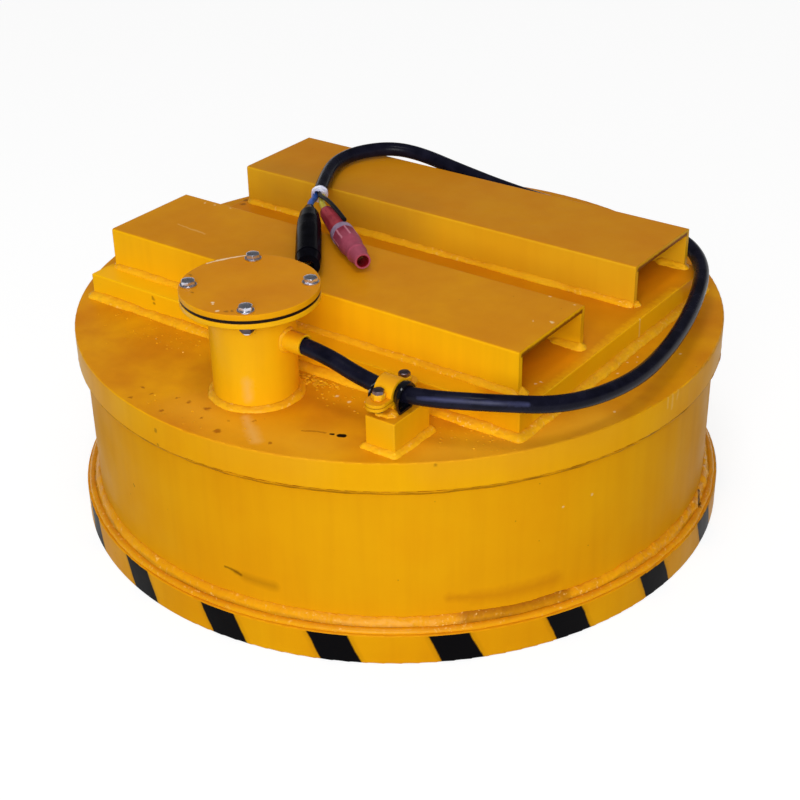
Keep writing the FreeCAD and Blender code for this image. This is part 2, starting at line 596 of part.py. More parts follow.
def clamp_half(label, ear_bottom):
    """One half of the clamp with its bolted ears, and the level of the ears' lower face from the axis."""
    body = new_body(label, "clamp_x - clamp_width / 2", OUTLET_Y, CLAMP_AXIS)
    form(body, "AdditiveBox", at=("0", "-clamp_ear_reach", ear_bottom),
         Length="clamp_width", Width="2 * clamp_ear_reach", Height="clamp_thickness")
    rounded(body, "clamp_ear_round", lambda edge: runs_along(edge, Vector(0, 0, 1)))
    for bolt_y in ("clamp_bolt_reach", "-clamp_bolt_reach"):
        form(body, "SubtractiveCylinder", at=("clamp_width / 2", bolt_y, ear_bottom),
             Radius="clamp_bolt_radius + hole_clearance", Height="clamp_thickness")
    return body


# The upper strap is bent over the cable, with upright legs down to its ears
LEG_FOOT = "(clamp_gap / 2 - clamp_ear_drop)"
upper_strap = clamp_half("clamp_upper_strap", LEG_FOOT)
form(upper_strap, "AdditiveCylinder", turn=LYING_ALONG_X, Radius=STRAP_RADIUS, Height="clamp_width")
form(upper_strap, "AdditiveBox", at=("0", f"-{STRAP_RADIUS}", LEG_FOOT),
     Length="clamp_width", Width=f"2 * {STRAP_RADIUS}", Height=f"-{LEG_FOOT}")
form(upper_strap, "SubtractiveCylinder", turn=LYING_ALONG_X, Radius=CLAMP_BORE, Height="clamp_width")
form(upper_strap, "SubtractiveBox", at=("0", f"-{CLAMP_BORE}", f"-{STRAP_RADIUS}"),
     Length="clamp_width", Width=f"2 * {CLAMP_BORE}", Height=STRAP_RADIUS)
form(upper_strap, "SubtractiveBox", at=("0", f"-{STRAP_RADIUS}", f"-{STRAP_RADIUS}"),
     Length="clamp_width", Width=f"2 * {STRAP_RADIUS}", Height=f"{STRAP_RADIUS} + {LEG_FOOT}")

# The lower strap carries the cable in a hollow and stands on the block
LOWER_EAR = "(-clamp_gap / 2 - clamp_thickness - clamp_ear_drop)"
FOOT_HEIGHT = f"({CLAMP_AXIS} - {PLATE_TOP} - block_height)"
lower_strap = clamp_half("clamp_lower_strap", LOWER_EAR)
form(lower_strap, "AdditiveBox", at=("0", f"-{CLAMP_BORE}", f"-{FOOT_HEIGHT}"),
     Length="clamp_width", Width=f"2 * {CLAMP_BORE}", Height=f"{FOOT_HEIGHT} + {LOWER_EAR}")
form(lower_strap, "SubtractiveCylinder", turn=LYING_ALONG_X, Radius=CLAMP_BORE, Height="clamp_width")

SEAT_CORNER = ("clamp_x - clamp_width / 2", f"{OUTLET_Y} - {CLAMP_BORE}", f"{PLATE_TOP} + block_height")
bead_frame("clamp_seat_welds", "clamp_width", f"2 * {CLAMP_BORE}", "seat_bead", *SEAT_CORNER, ends=False)

# Each bolt goes through a spacer nut and both ears, and has its nut underneath
EAR_TOP = f"({CLAMP_AXIS} + {LEG_FOOT} + clamp_thickness)"
EAR_FOOT = f"({CLAMP_AXIS} + {LOWER_EAR})"
HEAD_FOOT = f"({EAR_TOP} + clamp_spacer_height)"
CLAMP_SHANK = f"({HEAD_FOOT} - {EAR_FOOT} + clamp_nut_height)"
clamp_bolts = new_body("clamp_bolts", "clamp_x", OUTLET_Y, HEAD_FOOT)
clamp_spacers = new_body("clamp_spacers", "clamp_x", OUTLET_Y, EAR_TOP)
clamp_nuts = new_body("clamp_nuts", "clamp_x", OUTLET_Y, f"{EAR_FOOT} - clamp_nut_height")
for bolt_y in ("clamp_bolt_reach", "-clamp_bolt_reach"):
    form(clamp_bolts, "AdditivePrism", at=("0", bolt_y, "0"),
         Circumradius="clamp_bolt_flats / sqrt(3)", Height="clamp_head_height")
    form(clamp_bolts, "AdditiveCylinder", at=("0", bolt_y, f"-{CLAMP_SHANK}"),
         Radius="clamp_bolt_radius", Height=CLAMP_SHANK)
    for nuts, nut_height in ((clamp_spacers, "clamp_spacer_height"), (clamp_nuts, "clamp_nut_height")):
        form(nuts, "AdditivePrism", at=("0", bolt_y, "0"),
             Circumradius="clamp_bolt_flats / sqrt(3)", Height=nut_height)
        form(nuts, "SubtractiveCylinder", at=("0", bolt_y, "0"),
             Radius="clamp_bolt_radius + hole_clearance / 5", Height=nut_height)

RUBBER_LENGTH = "(clamp_width + rubber_tail)"
turned_lengthwise("clamp_sleeve", [
    ("0", RUBBER_BORE),
    ("clamp_width", RUBBER_BORE),
    (RUBBER_LENGTH, f"{RUBBER_BORE} + rubber_flare"),
    (RUBBER_LENGTH, f"{RUBBER_OUTSIDE} + rubber_flare"),
    ("clamp_width", RUBBER_OUTSIDE),
    ("0", RUBBER_OUTSIDE),
], "clamp_x - clamp_width / 2", OUTLET_Y, CLAMP_AXIS)


# Cords: tubes along straight runs joined by tangent arcs
def cord_path(points):
    """Straight runs joined by the largest tangent arcs that they leave room for, and the radii."""
    share_of_run = 0.45
    edges = []
    radii = []
    start = points[0]
    for before, corner, after in zip(points, points[1:], points[2:]):
        arriving = (corner - before).normalize()
        leaving = (after - corner).normalize()
        cut = share_of_run * min((corner - before).Length, (after - corner).Length)
        half_turn = arriving.getAngle(leaving) / 2
        radius = cut / math.tan(half_turn)
        arc_start = corner - arriving * cut
        arc_end = corner + leaving * cut
        inward = (leaving - arriving).normalize()
        arc_middle = corner + inward * (radius / math.cos(half_turn) - radius)
        edges.append(Part.LineSegment(start, arc_start).toShape())
        edges.append(Part.Arc(arc_start, arc_middle, arc_end).toShape())
        radii.append(radius)
        start = arc_end
    edges.append(Part.LineSegment(start, points[-1]).toShape())
    return Part.Wire(edges), radii


def cord_tube(points, radius):
    """A round tube along a cord's path."""
    path, radii = cord_path(points)
    section = Part.Wire(Part.makeCircle(radius, points[0], points[1] - points[0]))
    tube = path.makePipeShell([section], True, True)
    expected = math.pi * radius ** 2 * path.Length
    print(f"cord of {path.Length:.0f} mm, volume {tube.Volume / expected:.4f} of section times length")
    print("  bend radii", ", ".join(f"{bend:.0f}" for bend in radii))
    return tube


def add_cord(label, tubes):
    """A sub-part made of one or more tubes."""
    feature = doc.addObject("Part::Feature", label)
    feature.Label = label
    feature.Shape = tubes[0] if len(tubes) == 1 else Part.makeCompound(tubes)
    pieces.append(feature)


# The supply cable's route, from inside the junction box to the white tie
outlet_axis = value(f"{PLATE_TOP} + outlet_height")
clamp_axis = value(CLAMP_AXIS)
cable_y = value(OUTLET_Y)
clamp_middle = value("clamp_x")
clamp_run = 32
cable_inside = 2
CABLE_ROUTE = [
    Vector(value(OUTLET_START) - cable_inside, cable_y, outlet_axis),
    Vector(112, cable_y, outlet_axis),
    Vector(clamp_middle - clamp_run, cable_y, clamp_axis),
    Vector(clamp_middle + clamp_run, cable_y, clamp_axis),
    Vector(338, -285, 353),
    Vector(402, -224, 341),
    Vector(429, -112, 329),
    Vector(418, 10, 324),
    Vector(392, 129, 328),
    Vector(354, 232, 336),
    Vector(286, 288, 342),
    Vector(195, 290, 343),
    Vector(100, 269, 351),
    Vector(15, 256, 364),
    Vector(-70, 254, 377),
    Vector(-140, 257, 387),
    Vector(-184, 242, 392.5),
    Vector(-216, 202, 392.5),
    Vector(-222, 152, 392),
    Vector(-199, 95, 392),
    Vector(-162, 33, 392),
]
add_cord("power_cable", [cord_tube(CABLE_ROUTE, value("cable_radius"))])

# The end of the sheath, where the cores part
sheath_end = CABLE_ROUTE[-1]
sheath_heading = (CABLE_ROUTE[-1] - CABLE_ROUTE[-2]).normalize()
sideways = sheath_heading.cross(Vector(0, 0, 1))
upright = sideways.cross(sheath_heading)

# The tie: a flat band round the end of the sheath, with its lock on top and a lip that closes round the cores
cable_tie = new_body("cable_tie")
TIE_BORE = CABLE_HOLE
TIE_OUTSIDE = f"({CABLE_HOLE} + tie_thickness)"
TIE_REACH = "(tie_width + cable_clearance)"
form(cable_tie, "AdditiveCylinder", Radius=TIE_OUTSIDE, Height=f"{TIE_REACH} + tie_lip")
form(cable_tie, "AdditiveBox", at=(TIE_BORE, "-tie_width / 2", "0"),
     Length="3 * tie_thickness", Width="tie_width", Height="tie_width")
form(cable_tie, "SubtractiveCylinder", Radius=TIE_BORE, Height=TIE_REACH)
form(cable_tie, "SubtractiveCylinder", Radius="core_spread + core_radius + hole_clearance",
     Height=f"{TIE_REACH} + tie_lip")
tie_start = sheath_end - sheath_heading * value("tie_width")
for axis in "xyz":
    cable_tie.setExpression(".Placement.Base." + axis, None)
cable_tie.Placement = FreeCAD.Placement(tie_start, FreeCAD.Rotation(upright, sideways, sheath_heading, "ZXY"))


# Connectors: rubber mouldings with a socket in the nose and a brass contact inside, on the front pocket
PLUG_CORE = "(core_radius + hole_clearance / 5)"


def along_plug(colour, distance):
    """A point on a connector's axis, at a distance from its rear end, as three formulas."""
    return (f"{colour}_plug_x + {distance} * cos({colour}_plug_heading)",
            f"{FRONT_POCKET} + {colour}_plug_across + {distance} * sin({colour}_plug_heading)",
            f"{POCKET_TOP} + {colour}_body_radius + rest_clearance")


def plug_point(colour, distance):
    """The same point as a vector."""
    return Vector(*(value(formula) for formula in along_plug(colour, distance)))


def plug_piece(label, colour, distance, outline):
    """A piece turned about a connector's axis, at a distance from the connector's rear end."""
    piece = turned_lengthwise(label, outline, *along_plug(colour, distance))
    piece.Placement.Rotation = FreeCAD.Rotation(Vector(0, 0, 1), value(f"{colour}_plug_heading"))
    return piece


def connector(colour, skin):
    """A rubber moulding from the corners of its skin, and the brass contact in its socket."""
    bore_end = f"({colour}_plug_length - plug_bore_depth)"
    moulding = plug_piece(f"{colour}_connector", colour, "0", [
        ("0", PLUG_CORE),
        *skin,
        (f"{colour}_plug_length", f"{colour}_end_radius"),
        (f"{colour}_plug_length", "plug_bore_radius"),
        (bore_end, "plug_bore_radius"),
        (bore_end, "0"),
        ("plug_core_depth", "0"),
        ("plug_core_depth", PLUG_CORE),
    ])
    contact_bore = "(plug_bore_radius - contact_wall)"
    plug_piece(f"{colour}_contact", colour, bore_end, [
        ("0", "0"),
        ("0", "plug_bore_radius"),
        ("contact_length", "plug_bore_radius"),
        ("contact_length", contact_bore),
        ("contact_wall", contact_bore),
        ("contact_wall", "0"),
    ])
    return moulding


GROOVE_END = "(black_groove_at + black_groove_width)"
GROOVE_FLOOR = "black_body_radius - black_groove_depth"
connector("black", [
    ("0", "black_tail_radius"),
    ("0.1 * black_boot_length", "1.3 * black_tail_radius"),
    ("0.3 * black_boot_length", "0.8 * black_body_radius"),
    ("0.6 * black_boot_length", "0.95 * black_body_radius"),
    ("black_boot_length", "black_body_radius"),
    ("black_groove_at", "black_body_radius"),
    ("black_groove_at", GROOVE_FLOOR),
    (GROOVE_END, GROOVE_FLOOR),
    (GROOVE_END, "black_body_radius"),
])

BAND_END = "(red_boot_length + red_band_width)"
NOZZLE_START = "(red_plug_length - red_nozzle_length)"
COLLAR_RADIUS = "red_nozzle_radius + red_collar"
red_connector = connector("red", [
    ("0", "red_tail_radius"),
    ("0.15 * red_boot_length", "0.78 * red_boot_radius"),
    ("red_boot_length", "red_boot_radius"),
    (BAND_END, "red_boot_radius"),
    (BAND_END, "red_body_radius"),
    (f"{BAND_END} + red_body_length", "red_body_radius"),
    (NOZZLE_START, "red_nozzle_radius"),
    (NOZZLE_START, COLLAR_RADIUS),
    (f"{NOZZLE_START} + red_nozzle_length / 4", COLLAR_RADIUS),
    (f"{NOZZLE_START} + red_nozzle_length / 3", "red_nozzle_radius"),
])

# Flats along the red connector's front body, which lies on the edge between two of them
RED_FLATS = 8
flat = form(red_connector, "SubtractiveBox",
            at=(BAND_END, "-red_body_radius / 2", "red_body_radius - red_flat_depth"),
            Length=f"{NOZZLE_START} - {BAND_END}", Width="red_body_radius", Height="2 * red_flat_depth")
pattern(red_connector, [flat], RED_FLATS, "X_Axis")
rolled_onto_edge = FreeCAD.Rotation(Vector(1, 0, 0), 180 / RED_FLATS)
red_connector.Placement.Rotation = red_connector.Placement.Rotation * rolled_onto_edge

# The grey band between the red connector's boot and its front body
BAND_RADIUS = "red_boot_radius + red_band_thickness"
plug_piece("red_connector_band", "red", "red_boot_length", ring_outline_lengthwise(
    "red_boot_radius", BAND_RADIUS, "red_band_width"))


# The cores between the sheath and the connectors, and the spare core cut off beside the red one
def core_route(colour, offset):
    """From a core's place in the sheath's end to the bottom of its hole in the connector."""
    core_start = sheath_end + offset
    lead_out = core_start + sheath_heading * value("plug_core_depth")
    plug_ends = [plug_point(colour, "-plug_core_depth"), plug_point(colour, "plug_core_depth")]
    return [core_start, lead_out, *plug_ends]


core_spread = value("core_spread")
add_cord("blue_core", [cord_tube(core_route("black", sideways * core_spread), value("core_radius"))])
add_cord("yellow_core", [cord_tube(core_route("red", -sideways * core_spread), value("core_radius"))])

spare_start = (sheath_end + sheath_heading * value("cable_clearance")
               + upright * value("core_spread + spare_core_radius / 2"))
beside_red = plug_point("red", "0") - plug_point("red", "1")
beside_red = Vector(beside_red.y, -beside_red.x, math.tan(math.radians(value("spare_core_rise")))).normalize()
spare_offset = beside_red * value("red_boot_radius + spare_core_radius + cable_clearance")
add_cord("black_core", [cord_tube([
    spare_start,
    spare_start + sheath_heading * value("plug_core_depth"),
    plug_point("red", "0") + spare_offset,
    plug_point("red", "spare_core_reach") + spare_offset,
], value("spare_core_radius"))])

# Inside the junction box the cores go down to the terminal studs
cable_inner_end = CABLE_ROUTE[0]
stud_top = value(f"{PLATE_TOP} + lead_height")
inner_tubes = []
for sign, (lead_x, lead_y) in zip((1, -1), leads):
    start = cable_inner_end + Vector(0, sign * value("2 * inner_wire_radius"), 0)
    stud = Vector(value(lead_x), value(lead_y), stud_top)
    over_stud = stud + Vector(0, 0, value("4 * inner_wire_radius"))
    inner_tubes.append(cord_tube([start, Vector(over_stud.x, start.y, start.z), over_stud, stud],
                                 value("inner_wire_radius")))
add_cord("inner_wires", inner_tubes)

# Every object has to be sound before anything is written
doc.recompute()
for item in doc.Objects:
    if "Invalid" in item.State or "Error" in item.State:
        raise RuntimeError(f"{item.Label} failed: {item.State}")
for piece in pieces:
    if piece.Shape.isNull() or not piece.Shape.isValid() or not piece.Shape.Solids:
        raise RuntimeError(f"{piece.Label} has no valid solid")

os.makedirs("parts", exist_ok=True)
for piece in pieces:
    piece.Shape.exportStep(os.path.join("parts", piece.Label + ".step"))
print(f"{len(pieces)} sub-parts written")
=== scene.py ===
"""Looks of a round scrap lifting electromagnet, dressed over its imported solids.

Lengths are metres in the solids' own frame: the origin is the middle of the pole face, +Z is up,
X runs along the fork pockets, and -Y is the side of the junction box.
"""
import bpy
import bmesh
import math
import random
from mathutils import Matrix, Vector, noise


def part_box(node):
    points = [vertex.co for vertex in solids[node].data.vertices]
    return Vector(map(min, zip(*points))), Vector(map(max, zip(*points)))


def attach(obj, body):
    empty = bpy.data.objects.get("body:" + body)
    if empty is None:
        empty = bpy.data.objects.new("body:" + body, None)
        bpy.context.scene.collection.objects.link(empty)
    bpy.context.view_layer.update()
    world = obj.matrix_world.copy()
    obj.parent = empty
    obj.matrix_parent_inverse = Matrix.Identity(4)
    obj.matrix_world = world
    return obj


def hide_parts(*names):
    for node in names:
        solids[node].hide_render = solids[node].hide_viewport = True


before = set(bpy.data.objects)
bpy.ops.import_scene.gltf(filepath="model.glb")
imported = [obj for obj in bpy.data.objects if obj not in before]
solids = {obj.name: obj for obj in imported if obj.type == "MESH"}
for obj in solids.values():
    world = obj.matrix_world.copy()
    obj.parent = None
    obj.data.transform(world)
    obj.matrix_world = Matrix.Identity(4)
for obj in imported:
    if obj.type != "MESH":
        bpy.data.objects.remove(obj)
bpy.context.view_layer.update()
MM = 0.001

# Outer pole ring
# A heavy ring of mild steel, flame cut and turned, at the foot of the pot. It is sprayed with thick
# orange-yellow enamel, and slanted black stripes are then sprayed on its rim through a mask.
FRESH_YELLOW = "#F2AC0A"
DEEP_YELLOW = "#EA9E08"
DUST_AND_SHADE_YELLOW = "#C6730C"
GRIME_AND_SHADE_BROWN = "#7A4A10"
STRIPE_BLACK = "#060507"
BLOTCH = 140 * MM
RUN_WIDTH = 16 * MM
RUN_LENGTH = 260 * MM
DUST_AND_SHADE_PATCH = 70 * MM
GRIT_SPACING = 17 * MM
FILM_WAVE = 38 * MM
FILM_WAVE_DEPTH = 1.2 * MM
ORANGE_PEEL = 5 * MM
ORANGE_PEEL_DEPTH = 0.25 * MM
ENAMEL_IOR = 1.5
EDGE_RADIUS = 1.4 * MM
STRIPES = 19
STRIPE_WIDTH = math.radians(6.5)
STRIPE_LEAN = math.radians(2.3)
FIRST_STRIPE = math.radians(-107.3)
STRIPE_FUZZ = math.radians(0.16)
STRIPE_HAZE = 6 * STRIPE_FUZZ
STRIPE_SWAY = math.radians(0.3)
SWAY_LENGTH = 25 * MM


def linear(hex_colour):
    """An sRGB hex colour as linear red, green, blue and alpha."""
    parts = [int(hex_colour[start:start + 2], 16) / 255 for start in (1, 3, 5)]
    return [part / 12.92 if part <= 0.04045 else ((part + 0.055) / 1.055) ** 2.4 for part in parts] + [1.0]


def fill_inputs(node, inputs):
    """Fill a shader node's inputs, in their order or by name or number, with values or links."""
    for socket, value in inputs.items() if isinstance(inputs, dict) else enumerate(inputs):
        if isinstance(value, bpy.types.NodeSocket):
            node.id_data.links.new(value, node.inputs[socket])
        else:
            node.inputs[socket].default_value = value


def add_node(tree, kind, inputs=(), output=0, **settings):
    """Add a shader node, set its options, fill its inputs, and give one of its outputs.

    A MapRange takes a value, the range that it lies in and the new range, which is 0 to 1 if left out. A Mix
    of colours takes a share (0), the colour below (6) and the one above (7), and gives output 2.
    """
    node = tree.nodes.new("ShaderNode" + kind)
    for option, setting in settings.items():
        setattr(node, option, setting)
    fill_inputs(node, inputs)
    return node.outputs[output]


def new_material(name):
    """A new material, its node tree and its shader."""
    material = bpy.data.materials.new(name)
    material.use_nodes = True
    return material, material.node_tree, material.node_tree.nodes["Principled BSDF"]


def upward(tree):
    """How far a face looks up: 1 on a level face, 0 on a wall."""
    normal = add_node(tree, "NewGeometry", output="Normal")
    return add_node(tree, "SeparateXYZ", [normal], "Z")


def sprayed_enamel(name, layers=(), roughness=0.38, peel=0.35, gloss=0.06, fresh=FRESH_YELLOW,
                   deep=DEEP_YELLOW, dust_and_shade=(0.35, 0.8)):
    """Alkyd enamel sprayed on rough steel: deep glossy yellow, duller and browner on level faces from dust
    and painted shade.

    It gives soft wide highlights with an orange peel, bright lines on the broken edges, blotches a hand wide,
    faint runs on walls and grit in the film. Layers paint marks over the colour, the last one on top.
    """
    material, tree, shader = new_material(name)
    where = add_node(tree, "TexCoord", output="Object")
    blotch = add_node(tree, "TexNoise", {"Vector": where, "Scale": 1 / BLOTCH, "Detail": 4.0})
    spread = add_node(tree, "MapRange", [blotch, 0.35, 0.68])
    colour = add_node(tree, "Mix", {0: spread, 6: linear(fresh), 7: linear(deep)}, 2, data_type="RGBA")
    drawn_down = add_node(tree, "Mapping", {0: where, 3: (1 / RUN_WIDTH, 1 / RUN_WIDTH, 1 / RUN_LENGTH)})
    runs = add_node(tree, "TexNoise", {"Vector": drawn_down, "Scale": 1.0, "Detail": 3.0})
    run_tone = add_node(tree, "MapRange", [runs, 0.42, 0.75, 0.0, 0.1])
    # Dust and painted shade: level faces are mixed towards a duller, browner yellow in patches.
    lies_flat = add_node(tree, "MapRange", [upward(tree), 0.55, 0.95])
    dust_and_shade_patches = add_node(tree, "TexNoise", {"Vector": where, "Scale": 1 / DUST_AND_SHADE_PATCH, "Detail": 5.0})
    settled_dust_and_shade = add_node(tree, "MapRange", [dust_and_shade_patches, 0.3, 0.72, dust_and_shade[0], dust_and_shade[1]])
    dust_and_shade_share = add_node(tree, "Math", [lies_flat, settled_dust_and_shade], operation="MULTIPLY")
    grit = add_node(tree, "TexVoronoi", {"Vector": where, "Scale": 1 / GRIT_SPACING}).node.outputs
    grain = add_node(tree, "MapRange", [grit["Distance"], 0.03, 0.08, 0.45, 0.0])
    rare = add_node(tree, "SeparateColor", [grit["Color"]])
    kept = add_node(tree, "MapRange", [rare, 0.9, 0.91])
    speck = add_node(tree, "Math", [grain, kept], operation="MULTIPLY")
    for share, tint in ((run_tone, DUST_AND_SHADE_YELLOW), (dust_and_shade_share, DUST_AND_SHADE_YELLOW), (speck, GRIME_AND_SHADE_BROWN)):
        colour = add_node(tree, "Mix", {0: share, 6: colour, 7: linear(tint)}, 2, data_type="RGBA")
    for layer in layers:
        colour = layer(tree, where, colour)
    dull = add_node(tree, "MapRange", [dust_and_shade_patches, 0.3, 0.75, roughness - 0.06, roughness + 0.1])
    waves = add_node(tree, "TexNoise", {"Vector": where, "Scale": 1 / FILM_WAVE, "Detail": 2.0})
    broken_edge = add_node(tree, "Bevel", {"Radius": EDGE_RADIUS})
    rolling = add_node(tree, "Bump", {"Height": waves, "Strength": 0.5, "Distance": FILM_WAVE_DEPTH,
                                      "Normal": broken_edge})
    pores = add_node(tree, "TexNoise", {"Vector": where, "Scale": 1 / ORANGE_PEEL, "Detail": 2.0})
    skin = add_node(tree, "Bump", {"Height": pores, "Strength": peel, "Distance": ORANGE_PEEL_DEPTH,
                                   "Normal": rolling})
    fill_inputs(shader, {"Base Color": colour, "Roughness": dull, "IOR": ENAMEL_IOR,
                         "Specular IOR Level": gloss, "Normal": skin})
    return material


def sprayed_stripes(tree, where, colour):
    """Slanted black stripes round the rim, with slightly uneven, fuzzy edges."""
    axes = add_node(tree, "SeparateXYZ", [where]).node.outputs
    angle = add_node(tree, "Math", [axes["Y"], axes["X"]], operation="ARCTAN2")
    ring_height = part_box("outer_pole_ring")[1].z
    lean = add_node(tree, "MapRange", [axes["Z"], 0.0, ring_height,
                                       -FIRST_STRIPE - STRIPE_LEAN, -FIRST_STRIPE])
    waver = add_node(tree, "TexNoise", {"Vector": where, "Scale": 1 / SWAY_LENGTH, "Detail": 3.0})
    sway = add_node(tree, "MapRange", {0: waver, 3: -STRIPE_SWAY, 4: STRIPE_SWAY})
    slanted = add_node(tree, "Math", [angle, lean], operation="ADD")
    uneven = add_node(tree, "Math", [slanted, sway], operation="ADD")
    half = STRIPE_WIDTH / 2
    centred = add_node(tree, "Math", [uneven, half], operation="SUBTRACT")
    folded = add_node(tree, "Math", [centred, math.pi / STRIPES], operation="PINGPONG")
    core = add_node(tree, "MapRange", [folded, half - STRIPE_FUZZ, half + STRIPE_FUZZ, 1.0, 0.0])
    haze = add_node(tree, "MapRange", [folded, half, half + STRIPE_HAZE, 0.18, 0.0])
    sprayed = add_node(tree, "Math", [core, haze], operation="MAXIMUM")
    on_rim = add_node(tree, "MapRange", [upward(tree), 0.35, 0.6, 1.0, 0.0])
    share = add_node(tree, "Math", [sprayed, on_rim], operation="MULTIPLY")
    return add_node(tree, "Mix", {0: share, 6: colour, 7: linear(STRIPE_BLACK)}, 2, data_type="RGBA")


def finish_solids(material, *nodes):
    """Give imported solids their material."""
    for node in nodes:
        slots = solids[node].data.materials
        slots.clear()
        slots.append(material)


finish_solids(sprayed_enamel("striped_alkyd_enamel", [sprayed_stripes], gloss=0.03), "outer_pole_ring")

# Shell wall and its weld to the ring
# The wall is steel plate rolled to a tube. It stands on the ring and is joined to it by a heavy fillet
# of two weld runs, laid by hand, with ripples and lumps that the paint then rounds over.
WALL_YELLOW = "#F0AB0C"
WALL_DEEP = "#ECA10A"
WELD_YELLOW = "#F9BE1C"
GLINT = "#FFD278"
SCUFF_BROWN = "#4E2404"
HAZE_BROWN = "#9C5A04"
BAND_BROWN = "#C8740A"
SMEAR_BLACK = "#1C1208"
SHADE_BROWN = "#8A4A06"
SPECK_WHITE = "#F3E3B0"
# Marks on round walls are an angle in degrees, a height and a radius in millimetres. The last number of
# the weld's gap is its distance from the magnet's axis.
SCUFF = [(-84.6, 95, 2.4), (-83.4, 94, 3.4), (-82, 91.4, 3.2), (-81.5, 90, 3)]
SCUFF_END = [(-82.4, 92, 6), (-80.8, 88.5, 10), (-78.2, 86.5, 10), (-75.4, 85.4, 7)]
# A soft darker brown band on the wall just above the ring weld.
DULL_BAND = [(-46.7, 83, 9), (-42.6, 80, 14), (-38.1, 77, 16), (-33.4, 78, 16), (-28.5, 80, 12)]
WALL_SPECKS = [(-22, 188.7, 2.4), (-27.6, 185.7, 2)]
WALL_TICKS = [(-106.6, 149.5, 1.6), (-106.2, 146.5, 1.6)]
WELD_SHADE = [(-44, 56, 15), (-38, 55, 18), (-31, 56, 15), (-27, 57, 10)]
WELD_GAP = [(10.8, 47, 451), (12.6, 52, 447), (14.6, 57, 444)]
WELD_GAP_WIDTH = 3.4 * MM
RAGGED_GRAIN = 7 * MM
GLINT_GRAIN = 5 * MM
GLINT_PATCH = 70 * MM
GROOVE_OFFSET = 8.5 * MM
GROOVE_CORE = 0.4 * MM
GROOVE_EDGE = 2.0 * MM
GROOVE_PATCH = 90 * MM
SEAM_STEP = 1.8 * MM
BEAD_COLUMNS = 14
TOE_SINK = 1.2 * MM
RIPPLE = 0.03
RIPPLE_PITCH = 5.5 * MM
RIPPLE_BOW = 0.9
RIPPLE_LEVEL = 0.6
SWELL = 0.9
SWELL_LENGTH = 48 * MM
LUMP = 0.75
LUMP_LENGTH = 16 * MM
CRUMB = 0.3
CRUMB_LENGTH = 4 * MM
END_SHARE = 0.5
END_TAPER = 14 * MM
NOISE_SHIFT = (7.3, 3.1, 1.7)
SMOOTH_LUMPS = 0.11
CRUMBLY_LUMPS = 0.12
CRUMBLY_LEAN = 0.36
OUTER_RUN = 11 * MM
UP = Vector((0, 0, 1))
wall_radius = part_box("shell_wall")[1].x
ring_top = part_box("outer_pole_ring")[1].z


def marks(strokes, hex_colour, strength, softness=0.6, ragged_mm=7):
    """A paint layer of small ragged marks, each a stroke from one place to another with a radius."""
    def layer(tree, where, colour):
        ragged = add_node(tree, "TexNoise", {"Vector": where, "Scale": 1 / RAGGED_GRAIN, "Detail": 3.0},
                          "Color")
        centred = add_node(tree, "VectorMath", [ragged, (0.5, 0.5, 0.5)], operation="SUBTRACT")
        shift = add_node(tree, "VectorMath", {0: centred, "Scale": ragged_mm * MM}, operation="SCALE")
        place = add_node(tree, "VectorMath", [where, shift], operation="ADD")
        share = None
        for start, end, radius in strokes:
            nearest = start
            if end != start:
                run = Vector(end) - Vector(start)
                from_start = add_node(tree, "VectorMath", [place, start], operation="SUBTRACT")
                travel = add_node(tree, "VectorMath", [from_start, run / run.length_squared], "Value",
                                  operation="DOT_PRODUCT")
                part = add_node(tree, "Clamp", [travel])
                step = add_node(tree, "VectorMath", {0: run, "Scale": part}, operation="SCALE")
                nearest = add_node(tree, "VectorMath", [start, step], operation="ADD")
            reach = add_node(tree, "VectorMath", [place, nearest], "Value", operation="DISTANCE")
            spot = add_node(tree, "MapRange", [reach, radius * (1 - softness), radius, strength, 0.0])
            if share is not None:
                spot = add_node(tree, "Math", [share, spot], operation="MAXIMUM")
            share = spot
        return add_node(tree, "Mix", {0: share, 6: colour, 7: linear(hex_colour)}, 2, data_type="RGBA")
    return layer


def dot(place, size_mm):
    """A round mark, as a stroke that stays in one place."""
    return place, place, size_mm * MM


def around(degrees, height_mm, radius):
    """A place on a round wall, by its angle and height."""
    turn = math.radians(degrees)
    return radius * math.cos(turn), radius * math.sin(turn), height_mm * MM


def on_wall(spots, radius):
    """Marks given by their angle in degrees, height and radius in millimetres, as dots on a round wall."""
    return [dot(around(degrees, height, radius), size) for degrees, height, size in spots]


def drawn_out(dots):
    """Dots joined into strokes, each from one dot to the next with the first one's radius."""
    return [(start[0], end[0], start[2]) for start, end in zip(dots, dots[1:])]


def drawn_on_wall(spots):
    """Marks on the shell wall, joined into strokes."""
    return drawn_out(on_wall(spots, wall_radius))


def stroked(places, radius):
    """Strokes of one radius, each from one place to the next."""
    return [(start, end, radius) for start, end in zip(places, places[1:])]


def bright_glints(tree, where, colour):
    """Painted highlights: pale glints on the ridges of a bead, thick in some places and rare in others."""
    ridges = add_node(tree, "TexNoise", {"Vector": where, "Scale": 1 / GLINT_GRAIN, "Detail": 2.0})
    glint = add_node(tree, "MapRange", [ridges, 0.61, 0.74, 0.0, 0.7])
    places = add_node(tree, "TexNoise", {"Vector": where, "Scale": 1 / GLINT_PATCH, "Detail": 2.0})
    thick = add_node(tree, "MapRange", [places, 0.42, 0.66, 0.1, 1.0])
    share = add_node(tree, "Math", [glint, thick], operation="MULTIPLY")
    return add_node(tree, "Mix", {0: share, 6: colour, 7: linear(GLINT)}, 2, data_type="RGBA")


